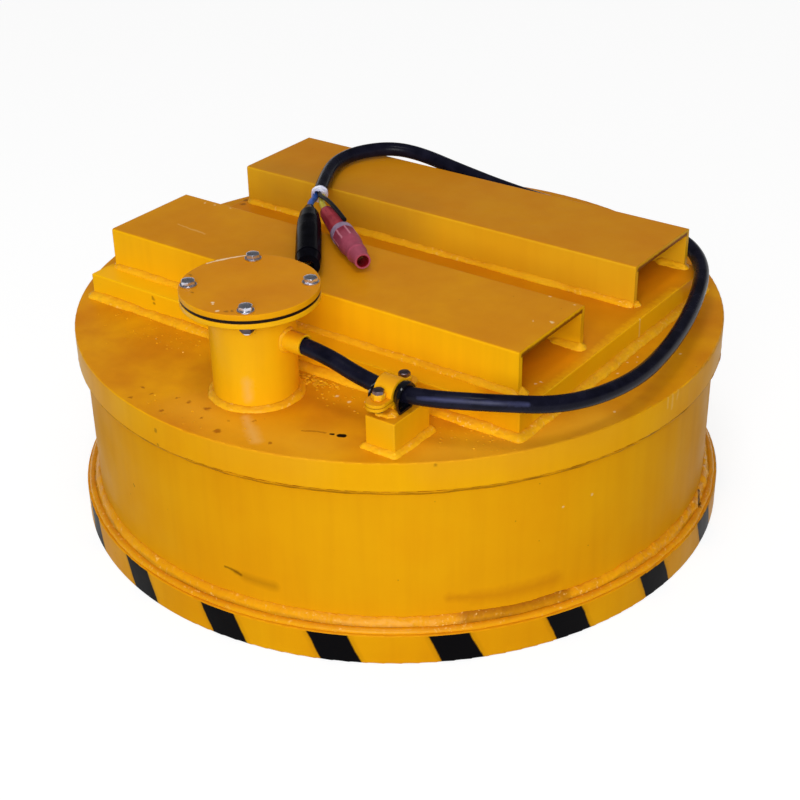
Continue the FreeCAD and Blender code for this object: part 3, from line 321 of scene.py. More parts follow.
def shaded_groove(tree, where, colour):
    """Painted shade: brown darkening in the groove between the two runs of the ring's weld, in patches a hand
    long.
    """
    level = add_node(tree, "Mapping", {0: where, 3: (1, 1, 0)})
    radius = add_node(tree, "VectorMath", [level], "Value", operation="LENGTH")
    off = add_node(tree, "Math", [radius, wall_radius + GROOVE_OFFSET], operation="SUBTRACT")
    near = add_node(tree, "Math", [off], operation="ABSOLUTE")
    depth = add_node(tree, "MapRange", [near, GROOVE_CORE, GROOVE_EDGE, 0.55, 0.0])
    places = add_node(tree, "TexNoise", {"Vector": where, "Scale": 1 / GROOVE_PATCH, "Detail": 3.0})
    patchy = add_node(tree, "MapRange", [places, 0.36, 0.6, 0.15, 1.0])
    share = add_node(tree, "Math", [depth, patchy], operation="MULTIPLY")
    return add_node(tree, "Mix", {0: share, 6: colour, 7: linear(GRIME_AND_SHADE_BROWN)}, 2, data_type="RGBA")


def grid(rows, closed_rows=False):
    """Points and faces of a skin through round rows of points, with its two ends joined or capped."""
    columns = len(rows[0])
    points = [point for row in rows for point in row]
    faces = []
    for row in range(len(rows) if closed_rows else len(rows) - 1):
        after = (row + 1) % len(rows)
        for column in range(columns):
            beside = (column + 1) % columns
            faces.append((row * columns + column, row * columns + beside,
                          after * columns + beside, after * columns + column))
    if not closed_rows:
        faces.append(tuple(reversed(range(columns))))
        faces.append(tuple(range(len(points) - columns, len(points))))
    return points, faces


def seated(name, form, stands_for):
    """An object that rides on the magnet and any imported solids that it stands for."""
    made = bpy.data.objects.new(name, form)
    bpy.context.scene.collection.objects.link(made)
    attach(made, "root")
    if stands_for:
        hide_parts(*stands_for)
    return made


def piece(name, skins, material, slot, *stands_for, crease=35):
    """A smooth mesh of one or more skins, sharp only where it bends by more than the crease's degrees."""
    shape = bmesh.new()
    for points, faces in skins:
        corners = [shape.verts.new(point) for point in points]
        for face in faces:
            shape.faces.new([corners[index] for index in face]).smooth = True
    bmesh.ops.recalc_face_normals(shape, faces=shape.faces)
    mesh = bpy.data.meshes.new(name)
    shape.to_mesh(mesh)
    shape.free()
    mesh.set_sharp_from_angle(angle=math.radians(crease))
    mesh.materials.append(material)
    return seated(name, mesh, stands_for)


def round_seam(centre, radius):
    """Places and outward directions round a circle."""
    count = round(2 * math.pi * radius / SEAM_STEP)
    seam = []
    for index in range(count):
        turn = 2 * math.pi * index / count
        outward = Vector((math.cos(turn), math.sin(turn), 0))
        seam.append((centre + outward * radius, outward))
    return seam


def size_at(given, place):
    """A size that is one number everywhere, or that depends on the place or the angle."""
    return given(place) if callable(given) else given


def weld_bead(seam, closed, reach, rise, seed, lumps, up=UP, arc=(-6, 96), bulge=1.3):
    """The skin of a hand-laid weld bead along a seam: rippled, lumpy, and flat or round by its bulge."""
    shift = Vector([seed * part for part in NOISE_SHIFT])
    full = sum((after[0] - before[0]).length for before, after in zip(seam, seam[1:]))
    travelled = 0.0
    before = seam[0][0]
    rows = []
    for root, outward in seam:
        travelled += (root - before).length
        before = root
        lumpiness = size_at(lumps, root)
        swell = 1 + SWELL * lumpiness * noise.noise(root / SWELL_LENGTH + shift)
        if not closed:
            swell *= min(1.0, END_SHARE + travelled / END_TAPER, END_SHARE + (full - travelled) / END_TAPER)
        row = []
        for column in range(BEAD_COLUMNS):
            angle = math.radians(arc[0] + (arc[1] - arc[0]) * column / (BEAD_COLUMNS - 1))
            flatness = (abs(math.cos(angle)) ** bulge + abs(math.sin(angle)) ** bulge) ** (-1 / bulge)
            side = (outward * (reach * math.cos(angle)) + up * (rise * math.sin(angle))) * flatness
            phase = math.pi * travelled / RIPPLE_PITCH + RIPPLE_BOW * math.sin(2 * angle)
            scallop = abs(math.sin(phase)) - RIPPLE_LEVEL
            lump = noise.noise((root + side) / LUMP_LENGTH + shift)
            crumb = noise.noise((root + side) / CRUMB_LENGTH + shift)
            row.append(root + side * (swell + RIPPLE * scallop + lumpiness * (LUMP * lump + CRUMB * crumb)))
        row.append(root - outward * TOE_SINK - up * TOE_SINK)
        rows.append(row)
    return grid(rows, closed_rows=closed)


def rough_side(root):
    """The ring's weld is laid smooth, but for a crumbly stretch on its +X side."""
    return SMOOTH_LUMPS + CRUMBLY_LUMPS * max(0.0, (root.x + CRUMBLY_LEAN * root.y) / root.xy.length) ** 3


wall_layers = [
    marks(drawn_on_wall(DULL_BAND), BAND_BROWN, 0.45, softness=1.0),
    marks(drawn_on_wall(SCUFF_END), HAZE_BROWN, 0.4, softness=1.0, ragged_mm=3),
    marks(drawn_on_wall(SCUFF) + drawn_on_wall(WALL_TICKS), SCUFF_BROWN, 0.75, softness=1.0, ragged_mm=2),
    marks(on_wall(WALL_SPECKS, wall_radius), SPECK_WHITE, 0.5),
]
finish_solids(sprayed_enamel("wall_enamel", wall_layers, roughness=0.42, gloss=0.022, fresh=WALL_YELLOW,
                             deep=WALL_DEEP), "shell_wall")
# The enamel over welds carries painted highlights, pale glints on the bead ridges.
weld_enamel = sprayed_enamel("enamel_over_weld", [bright_glints], roughness=0.28, peel=1.2, gloss=0.1,
                             fresh=WELD_YELLOW, deep=FRESH_YELLOW)
gap_places = [around(degrees, height, radius * MM) for degrees, height, radius in WELD_GAP]
ring_weld_layers = [
    shaded_groove,
    # Painted shade: soft brown patches on the ring weld at its right front.
    marks(drawn_on_wall(WELD_SHADE), SHADE_BROWN, 0.85, softness=1.0),
    bright_glints,
    marks(stroked(gap_places, WELD_GAP_WIDTH), SMEAR_BLACK, 0.9, ragged_mm=5),
]
ring_weld_enamel = sprayed_enamel("smeared_weld_enamel", ring_weld_layers, roughness=0.26, peel=1.1,
                                  gloss=0.12)
ring_foot = Vector((0, 0, ring_top))
outer_run = weld_bead(round_seam(ring_foot, wall_radius + OUTER_RUN), True, reach=6 * MM, rise=5.5 * MM,
                      seed=1, lumps=rough_side, arc=(-6, 186), bulge=1.7)
inner_run = weld_bead(round_seam(ring_foot, wall_radius), True, reach=10 * MM, rise=15 * MM, seed=2,
                      lumps=rough_side, bulge=1.4)
piece("hand_laid_ring_weld", [outer_run, inner_run], ring_weld_enamel, "yellow_enamel", "ring_weld")

# Poles and guard plate under the pot
# A round centre pole carries a screwed-on wear shoe, both of turned soft steel. A plate of manganese
# steel, which isn't magnetic, closes the coil space between the poles. All of it is left bare.
METAL = 1.0
STAIN_GRAINS = 12
SCRATCH_DEPTH = 0.2 * MM


def bare_steel(name, pale, dark, roughness, grain_mm):
    """Turned, rolled or plated steel left bare: grey metal with fine scratches all ways and dull stains."""
    material, tree, shader = new_material(name)
    where = add_node(tree, "TexCoord", output="Object")
    stain = add_node(tree, "TexNoise", {"Vector": where, "Scale": 1 / (STAIN_GRAINS * grain_mm * MM),
                                        "Detail": 5.0})
    colour = add_node(tree, "Mix", {0: stain, 6: linear(pale), 7: linear(dark)}, 2, data_type="RGBA")
    scratch = add_node(tree, "TexNoise", {"Vector": where, "Scale": 1 / (grain_mm * MM), "Detail": 4.0})
    dull = add_node(tree, "MapRange", [scratch, 0.3, 0.7, roughness - 0.08, roughness + 0.12])
    rough = add_node(tree, "Bump", {"Height": scratch, "Strength": 0.25, "Distance": SCRATCH_DEPTH})
    fill_inputs(shader, {"Base Color": colour, "Roughness": dull, "Metallic": METAL, "Normal": rough})
    return material


turned_steel = bare_steel("turned_soft_steel", pale="#A9A6A2", dark="#7B746C", roughness=0.42, grain_mm=2.0)
finish_solids(turned_steel, "inner_pole", "inner_pole_shoe", "pole_shoe_bolts", "guard_plate")

# Coil in the pot
# Four flat coils of anodised aluminium strip, stacked with pressed boards of glass and resin, and cast
# in with a dark resin. Two brass leads rise from it to a board of terminals in the junction box.
PANCAKES = [f"coil_pancake_{level}" for level in range(1, 5)]
NOT_METAL = 0.0
STOCK_GRAIN_DEPTH = 0.2 * MM


def plain_stock(name, pale, dark, roughness, metallic, grain_mm):
    """A cast, pressed or drawn material with a fine mottle of two tones and a slight grain."""
    material, tree, shader = new_material(name)
    where = add_node(tree, "TexCoord", output="Object")
    mottle = add_node(tree, "TexNoise", {"Vector": where, "Scale": 1 / (grain_mm * MM), "Detail": 4.0})
    colour = add_node(tree, "Mix", {0: mottle, 6: linear(pale), 7: linear(dark)}, 2, data_type="RGBA")
    grain = add_node(tree, "Bump", {"Height": mottle, "Strength": 0.2, "Distance": STOCK_GRAIN_DEPTH})
    fill_inputs(shader, {"Base Color": colour, "Roughness": roughness, "Metallic": metallic, "Normal": grain})
    return material


anodised_strip = plain_stock("anodised_aluminium_strip", pale="#C6C7C9", dark="#9FA1A4", roughness=0.4,
                             metallic=METAL, grain_mm=1.5)
glass_board = plain_stock("pressed_glass_board", pale="#C0A468", dark="#9A7D44", roughness=0.55,
                          metallic=NOT_METAL, grain_mm=3.0)
cast_resin = plain_stock("cast_resin", pale="#4A4038", dark="#2E2722", roughness=0.4, metallic=NOT_METAL,
                         grain_mm=6.0)
drawn_brass = plain_stock("drawn_brass", pale="#D2AE62", dark="#A9813C", roughness=0.3, metallic=METAL,
                          grain_mm=2.0)
finish_solids(anodised_strip, *PANCAKES)
finish_solids(glass_board, "coil_sleeve", "coil_base_board", "coil_separators", "coil_top_board",
              "terminal_board")
finish_solids(cast_resin, "potting_compound")
finish_solids(drawn_brass, "coil_leads", "terminal_nuts")

# Top plate of the pot
# A thick round plate, flame cut, laid over the wall and welded to it from below. Its enamel has rust
# stains and pits at the front, a drop of black paint with a thin tail, and grit under the film.
PLATE_YELLOW = "#F5B20A"
PLATE_DEEP = "#EEA408"
PAINTED_SHEEN_YELLOW = "#EAA622"
GLEAM_AND_SCRATCH_PALE = "#EBBA6C"
RIDGE_HIGHLIGHT_PALE = "#F6CA6A"
RUST_STAIN = "#8C4208"
TAIL_BROWN = "#6A2C06"
DROP_BLACK = "#120C08"
CREVICE_BROWN = "#74400A"
CREVICE_PATCH = 30 * MM
# Marks on level faces are X, Y and a radius in millimetres.
# Painted highlights: soft pale sheen across the plate's front and right.
SHEEN = [(-30, -405, 50), (60, -410, 60), (150, -395, 50)]
RIGHT_SHEEN = [(280, -325, 45), (345, -260, 50), (400, -150, 45)]
# A painted reflection: a pale streak on the plate in front of the junction pipe.
GLEAM = [(46, -384, 9), (68, -401, 12), (92, -419, 9)]
RUST_SPOTS = [(-7, -395, 6), (-38, -395, 4.5), (-51, -431, 4.5), (-112, -399, 3), (-91, -406, 3.5),
              (-106, -426, 3), (39, -428, 6.5), (-56, -395, 3), (35, -402, 2.5), (3, -415, 3),
              (109, -414, 3.5), (61, -385, 2.5)]
PAINT_DROP = [(171.5, -352, 4.6), (167.5, -354, 4.8)]
DROP_SPLASH = [(159, -356.4, 2.4), (156.5, -357.4, 2.2)]
DROP_TAIL = [(150, -359, 2.2), (140, -361.3, 2), (122.6, -370.3, 1.7)]
# Brown grime and painted shade in the corner between the junction pipe and the base plate.
CORNER_GRIME_AND_SHADE = [(33, -262, 8), (48, -265, 9), (62, -263, 6)]
WHITE_SPECKS = [(106, -280, 4), (128, -283, 3.4), (65, -267, 2.5), (144, -272, 2), (408, 58, 2.6),
                (410, -122, 2.4), (366, -34, 2.4), (362, -1, 2.2), (372, 7, 2), (366, 20, 2)]
RIM_MARKS = [(-96, 269, 4), (-95.7, 249, 3), (-48.9, 283, 3.4)]
# Painted highlights on small upright ridges at the top of the plate's rim.
RIM_RIDGES = [((-6.6, 284, 2.6), (-6.5, 270, 3.4)), ((-5.2, 284.5, 3.2), (-5.3, 266, 2.2)),
              ((-3.6, 285, 2.4), (-3.8, 274, 3))]
plate_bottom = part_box("top_plate")[0].z
plate_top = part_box("top_plate")[1].z
plate_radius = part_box("top_plate")[1].x


def lying(spots, height):
    """Marks given in millimetres as dots on a level face."""
    return [dot((x * MM, y * MM, height), size) for x, y, size in spots]


def drawn_on_plate(spots):
    """Marks on the top plate, joined into strokes."""
    return drawn_out(lying(spots, plate_top))


def crevice_dirt_and_shade(tree, where, colour):
    """Brown dirt and painted shade in the crevice under the plate's rim, in patches a thumb long."""
    patch = add_node(tree, "TexNoise", {"Vector": where, "Scale": 1 / CREVICE_PATCH, "Detail": 4.0})
    share = add_node(tree, "MapRange", [patch, 0.34, 0.66, 0.08, 0.55])
    return add_node(tree, "Mix", {0: share, 6: colour, 7: linear(CREVICE_BROWN)}, 2, data_type="RGBA")


rim_ridges = [stroke for ridge in RIM_RIDGES for stroke in drawn_out(on_wall(ridge, plate_radius))]
plate_layers = [
    marks(drawn_on_plate(SHEEN) + drawn_on_plate(RIGHT_SHEEN), PAINTED_SHEEN_YELLOW, 0.7, softness=1.0),
    marks(drawn_on_plate(GLEAM), GLEAM_AND_SCRATCH_PALE, 0.5, softness=1.0),
    marks(lying(RUST_SPOTS, plate_top), RUST_STAIN, 0.65, ragged_mm=11),
    marks(drawn_on_plate(DROP_TAIL), TAIL_BROWN, 0.45, ragged_mm=4),
    marks(drawn_on_plate(PAINT_DROP) + drawn_on_plate(DROP_SPLASH), DROP_BLACK, 1.0, softness=0.3,
          ragged_mm=2),
    marks(lying(CORNER_GRIME_AND_SHADE, plate_top), GRIME_AND_SHADE_BROWN, 0.45, softness=1.0),
    marks(lying(WHITE_SPECKS, plate_top), SPECK_WHITE, 0.6),
    marks(on_wall(RIM_MARKS, plate_radius), GRIME_AND_SHADE_BROWN, 0.5),
    marks(rim_ridges, RIDGE_HIGHLIGHT_PALE, 0.55, softness=1.0, ragged_mm=4),
]
finish_solids(sprayed_enamel("plate_enamel", plate_layers, gloss=0.035, fresh=PLATE_YELLOW, deep=PLATE_DEEP),
              "top_plate")
crevice_enamel = sprayed_enamel("enamel_in_crevice", [crevice_dirt_and_shade], gloss=0.03)
rim_seam = round_seam(Vector((0, 0, plate_bottom)), wall_radius)
rim_bead = weld_bead(rim_seam, True, reach=9.8 * MM, rise=8 * MM, seed=3, lumps=0.12, up=-UP)
piece("hand_laid_rim_weld", [rim_bead], crevice_enamel, "yellow_enamel", "rim_weld")

# Base plate for the fork pockets
# A rectangle of thick plate, flame cut, laid on the pot and welded all round its foot. It spreads the
# pull of the forks over the pot. Dust and painted shade lie thick on it, and its front edge and +X end
# are painted brighter, as painted light.
PAINTED_LIGHT_YELLOW = "#FEC20C"
LIT_FRONT = (0.0, 250 * MM)
LIT_FRONT_REACH = 50 * MM
LIT_END = (-190 * MM, 160 * MM)
LIT_END_HEIGHT = 13 * MM
LIT_END_REACH = 26 * MM
# Painted light: warm orange brightening on the base plate inside the pockets' mouths.
BOUNCE_LIGHT_ORANGE = "#FF9A08"
LIT_POCKET_MOUTHS = [((292, -180, 40), (318, -95, 40)), ((292, 110, 40), (318, 190, 40))]
THICK_DUST_AND_SHADE = (0.64, 0.8)
# A painted highlight along an upright step in the base plate's end face.
END_STEP = 56 * MM
END_STEP_FOOT = 6 * MM
END_STEP_WIDTH = 2.2 * MM
BASE_RUNS = [(-239, 315, 4), (-238, 308, 3)]
BASE_SPECKS = [(327, -170, 2.4), (329.4, -162, 2.2)]
BASE_GRIME = [(-352, 84, 7), (-345, 70, 6)]
base_low, base_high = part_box("base_plate")


def box_seam(low, high, height, ends=True):
    """Places and outward directions along the foot of a box: all round, or as two separate long sides."""
    corners = [Vector((low.x, low.y, height)), Vector((high.x, low.y, height)),
               Vector((high.x, high.y, height)), Vector((low.x, high.y, height))]
    sides = []
    for start, end in zip(corners, corners[1:] + corners[:1]):
        along = (end - start).normalized()
        outward = Vector((along.y, -along.x, 0))
        count = round((end - start).length / SEAM_STEP)
        sides.append([(start.lerp(end, index / count), outward) for index in range(count + 1)])
    if not ends:
        return [sides[0], sides[2]]
    seam = []
    for side, following in zip(sides, sides[1:] + sides[:1]):
        seam += side
        for part in (0.25, 0.5, 0.75):
            seam.append((side[-1][0], side[-1][1].slerp(following[0][1], part)))
    return [seam]


# Painted light: the base plate's front edge and +X end face are painted a brighter yellow.
lit_front_edge = stroked([(x, base_low.y, base_high.z) for x in (base_low.x, *LIT_FRONT)], LIT_FRONT_REACH)
lit_end_face = stroked([(base_high.x, y, base_low.z + LIT_END_HEIGHT) for y in LIT_END], LIT_END_REACH)
step_heights = (base_low.z + END_STEP_FOOT, base_high.z)
end_step = stroked([(base_high.x, END_STEP, z) for z in step_heights], END_STEP_WIDTH)
lit_mouths = [stroke for mouth in LIT_POCKET_MOUTHS for stroke in drawn_out(lying(mouth, base_high.z))]
front_runs = [dot((x * MM, base_low.y, z * MM), size) for x, z, size in BASE_RUNS]
base_layers = [
    marks(lit_front_edge[:1], PAINTED_LIGHT_YELLOW, 0.82, softness=0.4),
    marks(lit_front_edge[1:], PAINTED_LIGHT_YELLOW, 0.5, softness=0.4),
    marks(lit_end_face, PAINTED_LIGHT_YELLOW, 0.7, softness=0.3),
    marks(lit_mouths, BOUNCE_LIGHT_ORANGE, 0.6, softness=0.8),
    marks(front_runs, GRIME_AND_SHADE_BROWN, 0.6),
    marks(end_step, RIDGE_HIGHLIGHT_PALE, 0.8, ragged_mm=2),
    marks(lying(BASE_GRIME, base_high.z), GRIME_AND_SHADE_BROWN, 0.7),
    marks(lying(BASE_SPECKS, base_high.z), SPECK_WHITE, 0.6),
]
base_enamel = sprayed_enamel("base_plate_enamel", base_layers, gloss=0.04, dust_and_shade=THICK_DUST_AND_SHADE)
finish_solids(base_enamel, "base_plate")
base_seam = box_seam(base_low, base_high, plate_top)[0]
base_bead = weld_bead(base_seam, True, reach=10 * MM, rise=9 * MM, seed=4, lumps=0.22, bulge=1.45)
piece("hand_laid_base_weld", [base_bead], weld_enamel, "yellow_enamel", "base_plate_weld")

# Fork pockets
# Two troughs bent from steel sheet, open below and at both ends, stood on the base plate and welded
# along their feet. The forks of a truck slide into them.
# Painted light and shade: the front pocket's yellow is brighter and the rear pocket's duller, on one paint.
POCKET_LIT_AND_SHADED_YELLOWS = {"front": ("#FBBD0C", "#F7B50C"), "rear": ("#E7B01C", "#E4A818")}
LIP_SHADOW_BROWN = "#702004"
SHADED_OCHRE = "#A07428"
SHADED_YELLOW = "#B9790C"
POCKET_WALL = 8 * MM
END_STEPS = 4
WELD_RETURN = 42 * MM
RETURN_STEPS = 20
LIP_HEIGHT = 6.5 * MM
LIP_WIDTH = 4.2 * MM
REAR_SHADE = (-285 * MM, -55 * MM)
REAR_SHADE_REACH = 75 * MM
SHADED_WALL = (245 * MM, 330 * MM)
SHADED_REACH = 30 * MM
POCKET_SPECKS = [(275.5, -54.6, 3), (315, -116, 2.6), (295, -126, 1.8), (314.6, -59, 2), (-298, -64, 2.6),
                 (-281, -62, 2.4), (-255, -58, 2.2)]
POCKET_SCRATCH = [(-278, -143, 1.8), (-250, -146, 2.4), (-222, -148, 1.8)]


def end_seam(corner, lengthwise, inward):
    """Where a weld turns round the end of a pocket's wall and a little way back along its inside."""
    along = Vector((lengthwise, 0, 0))
    across = Vector((0, inward, 0))
    inner_corner = corner + across * POCKET_WALL
    seam = [(corner, along.slerp(-across, 0.5)), (corner, along)]
    seam += [(corner.lerp(inner_corner, step / END_STEPS), along) for step in range(1, END_STEPS + 1)]
    seam += [(inner_corner, along.slerp(across, 0.5)), (inner_corner, across)]
    for step in range(1, RETURN_STEPS + 1):
        seam.append((inner_corner - along * (WELD_RETURN * step / RETURN_STEPS), across))
    return seam


pocket_boxes = {side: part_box(f"{side}_fork_pocket") for side in POCKET_LIT_AND_SHADED_YELLOWS}
pocket_top = pocket_boxes["front"][1].z
pocket_middle = (pocket_boxes["rear"][0].z + pocket_top) / 2
# Painted shadow: a dark brown line along the lower edge of each pocket's top sheet at its +X end.
lip_shadow = []
for low, high in pocket_boxes.values():
    lip_sides = (low.y + POCKET_WALL, high.y - POCKET_WALL)
    lip_shadow += stroked([(high.x, y, high.z - LIP_HEIGHT) for y in lip_sides], LIP_WIDTH)
pocket_layers = [
    marks(lip_shadow, LIP_SHADOW_BROWN, 0.85, ragged_mm=4),
    marks(drawn_out(lying(POCKET_SCRATCH, pocket_top)), GLEAM_AND_SCRATCH_PALE, 0.4, ragged_mm=4),
    marks(lying(POCKET_SPECKS, pocket_top), SPECK_WHITE, 0.6),
]
inner_wall = pocket_boxes["front"][1].y - POCKET_WALL
rear_front = pocket_boxes["rear"][0].y
# Painted shade: a darker yellow inside the front pocket's rear wall, and a duller ochre on the rear pocket's
# front face.
shaded_wall = stroked([(x, inner_wall, pocket_middle) for x in SHADED_WALL], SHADED_REACH)
rear_shade_strokes = stroked([(x, rear_front, pocket_middle) for x in REAR_SHADE], REAR_SHADE_REACH)
pocket_shade = {"front": marks(shaded_wall, SHADED_YELLOW, 0.5),
                "rear": marks(rear_shade_strokes, SHADED_OCHRE, 0.42, softness=1.0)}
for order, (side, (pocket_low, pocket_high)) in enumerate(pocket_boxes.items()):
    pocket_fresh, pocket_deep = POCKET_LIT_AND_SHADED_YELLOWS[side]
    pocket_enamel = sprayed_enamel(f"{side}_pocket_enamel", [pocket_shade[side]] + pocket_layers, gloss=0.045,
                                   fresh=pocket_fresh, deep=pocket_deep, dust_and_shade=THICK_DUST_AND_SHADE)
    finish_solids(pocket_enamel, f"{side}_fork_pocket")
    long_seams = box_seam(pocket_low, pocket_high, base_high.z, ends=False)
    pocket_beads = [weld_bead(seam, False, reach=6.5 * MM, rise=7 * MM, seed=5 + 2 * order + number,
                              lumps=0.24) for number, seam in enumerate(long_seams)]
    for number, (outside, inward) in enumerate(((pocket_low.y, 1), (pocket_high.y, -1))):
        for end, lengthwise in ((pocket_low.x, -1), (pocket_high.x, 1)):
            return_seam = end_seam(Vector((end, outside, base_high.z)), lengthwise, inward)
            pocket_beads.append(weld_bead(return_seam, False, reach=7.5 * MM, rise=8 * MM,
                                          seed=20 + number + lengthwise, lumps=0.45))
    piece(f"hand_laid_{side}_pocket_welds", pocket_beads, weld_enamel, "yellow_enamel",
          f"{side}_pocket_welds")

# Junction box
# A length of steel pipe stood on the plate and welded to it, with a flange at its top and a round cover
# bolted on over a rubber gasket. The cable leaves through a pipe stub welded into its side.
BOX_YELLOW = "#FABB0E"
CLEAN_YELLOW = "#F5B40C"
CHIP_AND_HIGHLIGHT_WHITE = "#F8E6C0"
COVER_DUST_AND_SHADE = (0.52, 0.72)
COVER_SMUDGES = [(-65, -344, 3.5), (23, -239, 3), (38, -396, 4), (44, -391, 3), (-30, -380, 2.5)]
COVER_CHIPS = [(9.3, -387, 2.6), (29, -401, 2.8), (12, -390, 2)]
# A painted highlight: a thin pale line along the cover's rear rim.
COVER_RIM_HIGHLIGHT = [(-47, -262, 2.2), (-55, -274, 2), (-60, -282, 2.4), (-66, -294, 1.6), (-71, -307, 2)]
TUBE_GLEAM = (304 * MM, 328 * MM)
TUBE_GLEAM_TURN = math.radians(-60)
TUBE_GLEAM_REACH = 9 * MM
SADDLE_STEPS = 60
RUBBER_IOR = 1.52
RUBBED_GRAINS = 9
LEATHER_DEPTH = 0.3 * MM
cover_low, cover_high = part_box("junction_cover")
box_centre = (cover_low + cover_high) / 2
tube_low, tube_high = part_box("junction_tube")
tube_radius = (tube_high.y - tube_low.y) / 2
outlet_low, outlet_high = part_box("cable_outlet")
outlet_middle = (outlet_low + outlet_high) / 2
outlet_radius = (outlet_high.z - outlet_low.z) / 2


def saddle_seam():
    """Places and outward directions where the outlet stub meets the round tube."""
    seam = []
    for index in range(SADDLE_STEPS):
        turn = 2 * math.pi * index / SADDLE_STEPS
        outward = Vector((0, math.cos(turn), math.sin(turn)))
        side = outlet_middle.y + outlet_radius * outward.y
        depth = math.sqrt(tube_radius ** 2 - (side - box_centre.y) ** 2)
        height = outlet_middle.z + outlet_radius * outward.z
        seam.append((Vector((box_centre.x + depth, side, height)), outward))
    return seam


def rubber(name, pale, dark, roughness, grain_mm, bump=0.3, layers=(), gloss=0.2):
    """Moulded rubber or plastic: a soft satin colour with paler rubbed patches and a fine leathery grain."""
    material, tree, shader = new_material(name)
    where = add_node(tree, "TexCoord", output="Object")
    rubbed = add_node(tree, "TexNoise", {"Vector": where, "Scale": 1 / (RUBBED_GRAINS * grain_mm * MM),
                                         "Detail": 4.0})
    worn = add_node(tree, "MapRange", [rubbed, 0.38, 0.68])
    colour = add_node(tree, "Mix", {0: worn, 6: linear(dark), 7: linear(pale)}, 2, data_type="RGBA")
    for layer in layers:
        colour = layer(tree, where, colour)
    dull = add_node(tree, "MapRange", [rubbed, 0.3, 0.7, roughness - 0.07, roughness + 0.1])
    grain = add_node(tree, "TexNoise", {"Vector": where, "Scale": 1 / (grain_mm * MM), "Detail": 3.0})
    leathery = add_node(tree, "Bump", {"Height": grain, "Strength": bump, "Distance": LEATHER_DEPTH})
    fill_inputs(shader, {"Base Color": colour, "Roughness": dull, "IOR": RUBBER_IOR,
                         "Specular IOR Level": gloss, "Normal": leathery})
    return material


# A painted highlight: a pale upright streak low on the front of the pipe.
gleam_x = box_centre.x + tube_radius * math.cos(TUBE_GLEAM_TURN)
gleam_y = box_centre.y + tube_radius * math.sin(TUBE_GLEAM_TURN)
tube_gleam = stroked([(gleam_x, gleam_y, z) for z in TUBE_GLEAM], TUBE_GLEAM_REACH)
box_enamel = sprayed_enamel("junction_box_enamel", [marks(tube_gleam, GLEAM_AND_SCRATCH_PALE, 0.45, softness=1.0)],
                            roughness=0.3, gloss=0.11, fresh=BOX_YELLOW, deep=CLEAN_YELLOW)
finish_solids(box_enamel, "junction_tube", "junction_flange", "cable_outlet")
cover_chips_and_highlight = lying(COVER_CHIPS, cover_high.z) + drawn_out(lying(COVER_RIM_HIGHLIGHT, cover_high.z))
cover_layers = [
    marks(lying(COVER_SMUDGES, cover_high.z), GRIME_AND_SHADE_BROWN, 0.6),
    marks(cover_chips_and_highlight, CHIP_AND_HIGHLIGHT_WHITE, 0.75, ragged_mm=4),
]
finish_solids(sprayed_enamel("cover_enamel", cover_layers, dust_and_shade=COVER_DUST_AND_SHADE), "junction_cover")
gasket_rubber = rubber("brown_black_sheet_rubber", pale="#20140C", dark="#120A06", roughness=0.5,
                       grain_mm=2.0, gloss=0.08)
finish_solids(gasket_rubber, "junction_gasket")
tube_foot = Vector((box_centre.x, box_centre.y, plate_top))
tube_bead = weld_bead(round_seam(tube_foot, tube_radius), True, reach=7.5 * MM, rise=7.5 * MM, seed=9,
                      lumps=0.22)
piece("hand_laid_pipe_weld", [tube_bead], weld_enamel, "yellow_enamel", "junction_weld")
outlet_bead = weld_bead(saddle_seam(), True, reach=3.2 * MM, rise=3.6 * MM, seed=10, lumps=0.3,
                        up=Vector((1, 0, 0)))
piece("hand_laid_outlet_weld", [outlet_bead], weld_enamel, "yellow_enamel", "outlet_weld")

# Cover bolts, washers and nuts
# Four zinc plated hex bolts hold the cover, each with a flat washer under its head and a nut under the
# flange. The heads are forged, with a round chamfer and a slightly domed top, and the zinc has gone dull.
BOLT_CIRCLE = 74 * MM
FIRST_BOLT = math.radians(37)
COVER_BOLTS = 4
HEAD_FLATS = 16 * MM
HEAD_DOME = 1.0 * MM
SHANK_RADIUS = 5 * MM
WASHER_RADIUS = 10.5 * MM
BROKEN_EDGE = 0.4 * MM
CHAMFER_HEIGHT = 0.16
CHAMFER_SHARE = 0.93
CHAMFER_ROUND = 1.02
DOME_ROWS = (0.7, 0.4, 0.12)
HEX_STEPS = 48
HEX_CREASE = 24
NUT_TURN = 0.4
BOLT_SEED = 5
washer_low, washer_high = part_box("cover_washers")
bolt_low, bolt_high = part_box("cover_bolts")
nut_low, nut_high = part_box("cover_nuts")


def ring_of(centre, height, radius, steps=HEX_STEPS):
    """A level row of points round a centre, at a radius that may depend on the angle."""
    row = []
    for step in range(steps):
        turn = 2 * math.pi * step / steps
        reach = size_at(radius, turn)
        row.append(Vector((centre.x + reach * math.cos(turn), centre.y + reach * math.sin(turn), height)))
    return row


def hex_skin(centre, low, high, flats, spin, domed=0.0, chamfer_foot=False):
    """A forged hex head or nut: flat sides, a round chamfer at the top and a domed face."""
    chamfer = (high - low) * CHAMFER_HEIGHT

    def corner(turn):
        return flats / 2 / math.cos((turn + spin) % (math.pi / 3) - math.pi / 6)

    def chamfered(turn):
        return min(corner(turn), flats / 2 * CHAMFER_ROUND) * CHAMFER_SHARE

    rows = [ring_of(centre, low, corner)]
    if chamfer_foot:
        rows = [ring_of(centre, low, chamfered), ring_of(centre, low + chamfer, corner)]
    rows.append(ring_of(centre, high - chamfer, corner))
    rows.append(ring_of(centre, high, chamfered))
    for share in DOME_ROWS:
        rows.append(ring_of(centre, high + domed * (1 - share ** 2), flats / 2 * share))
    return grid(rows)


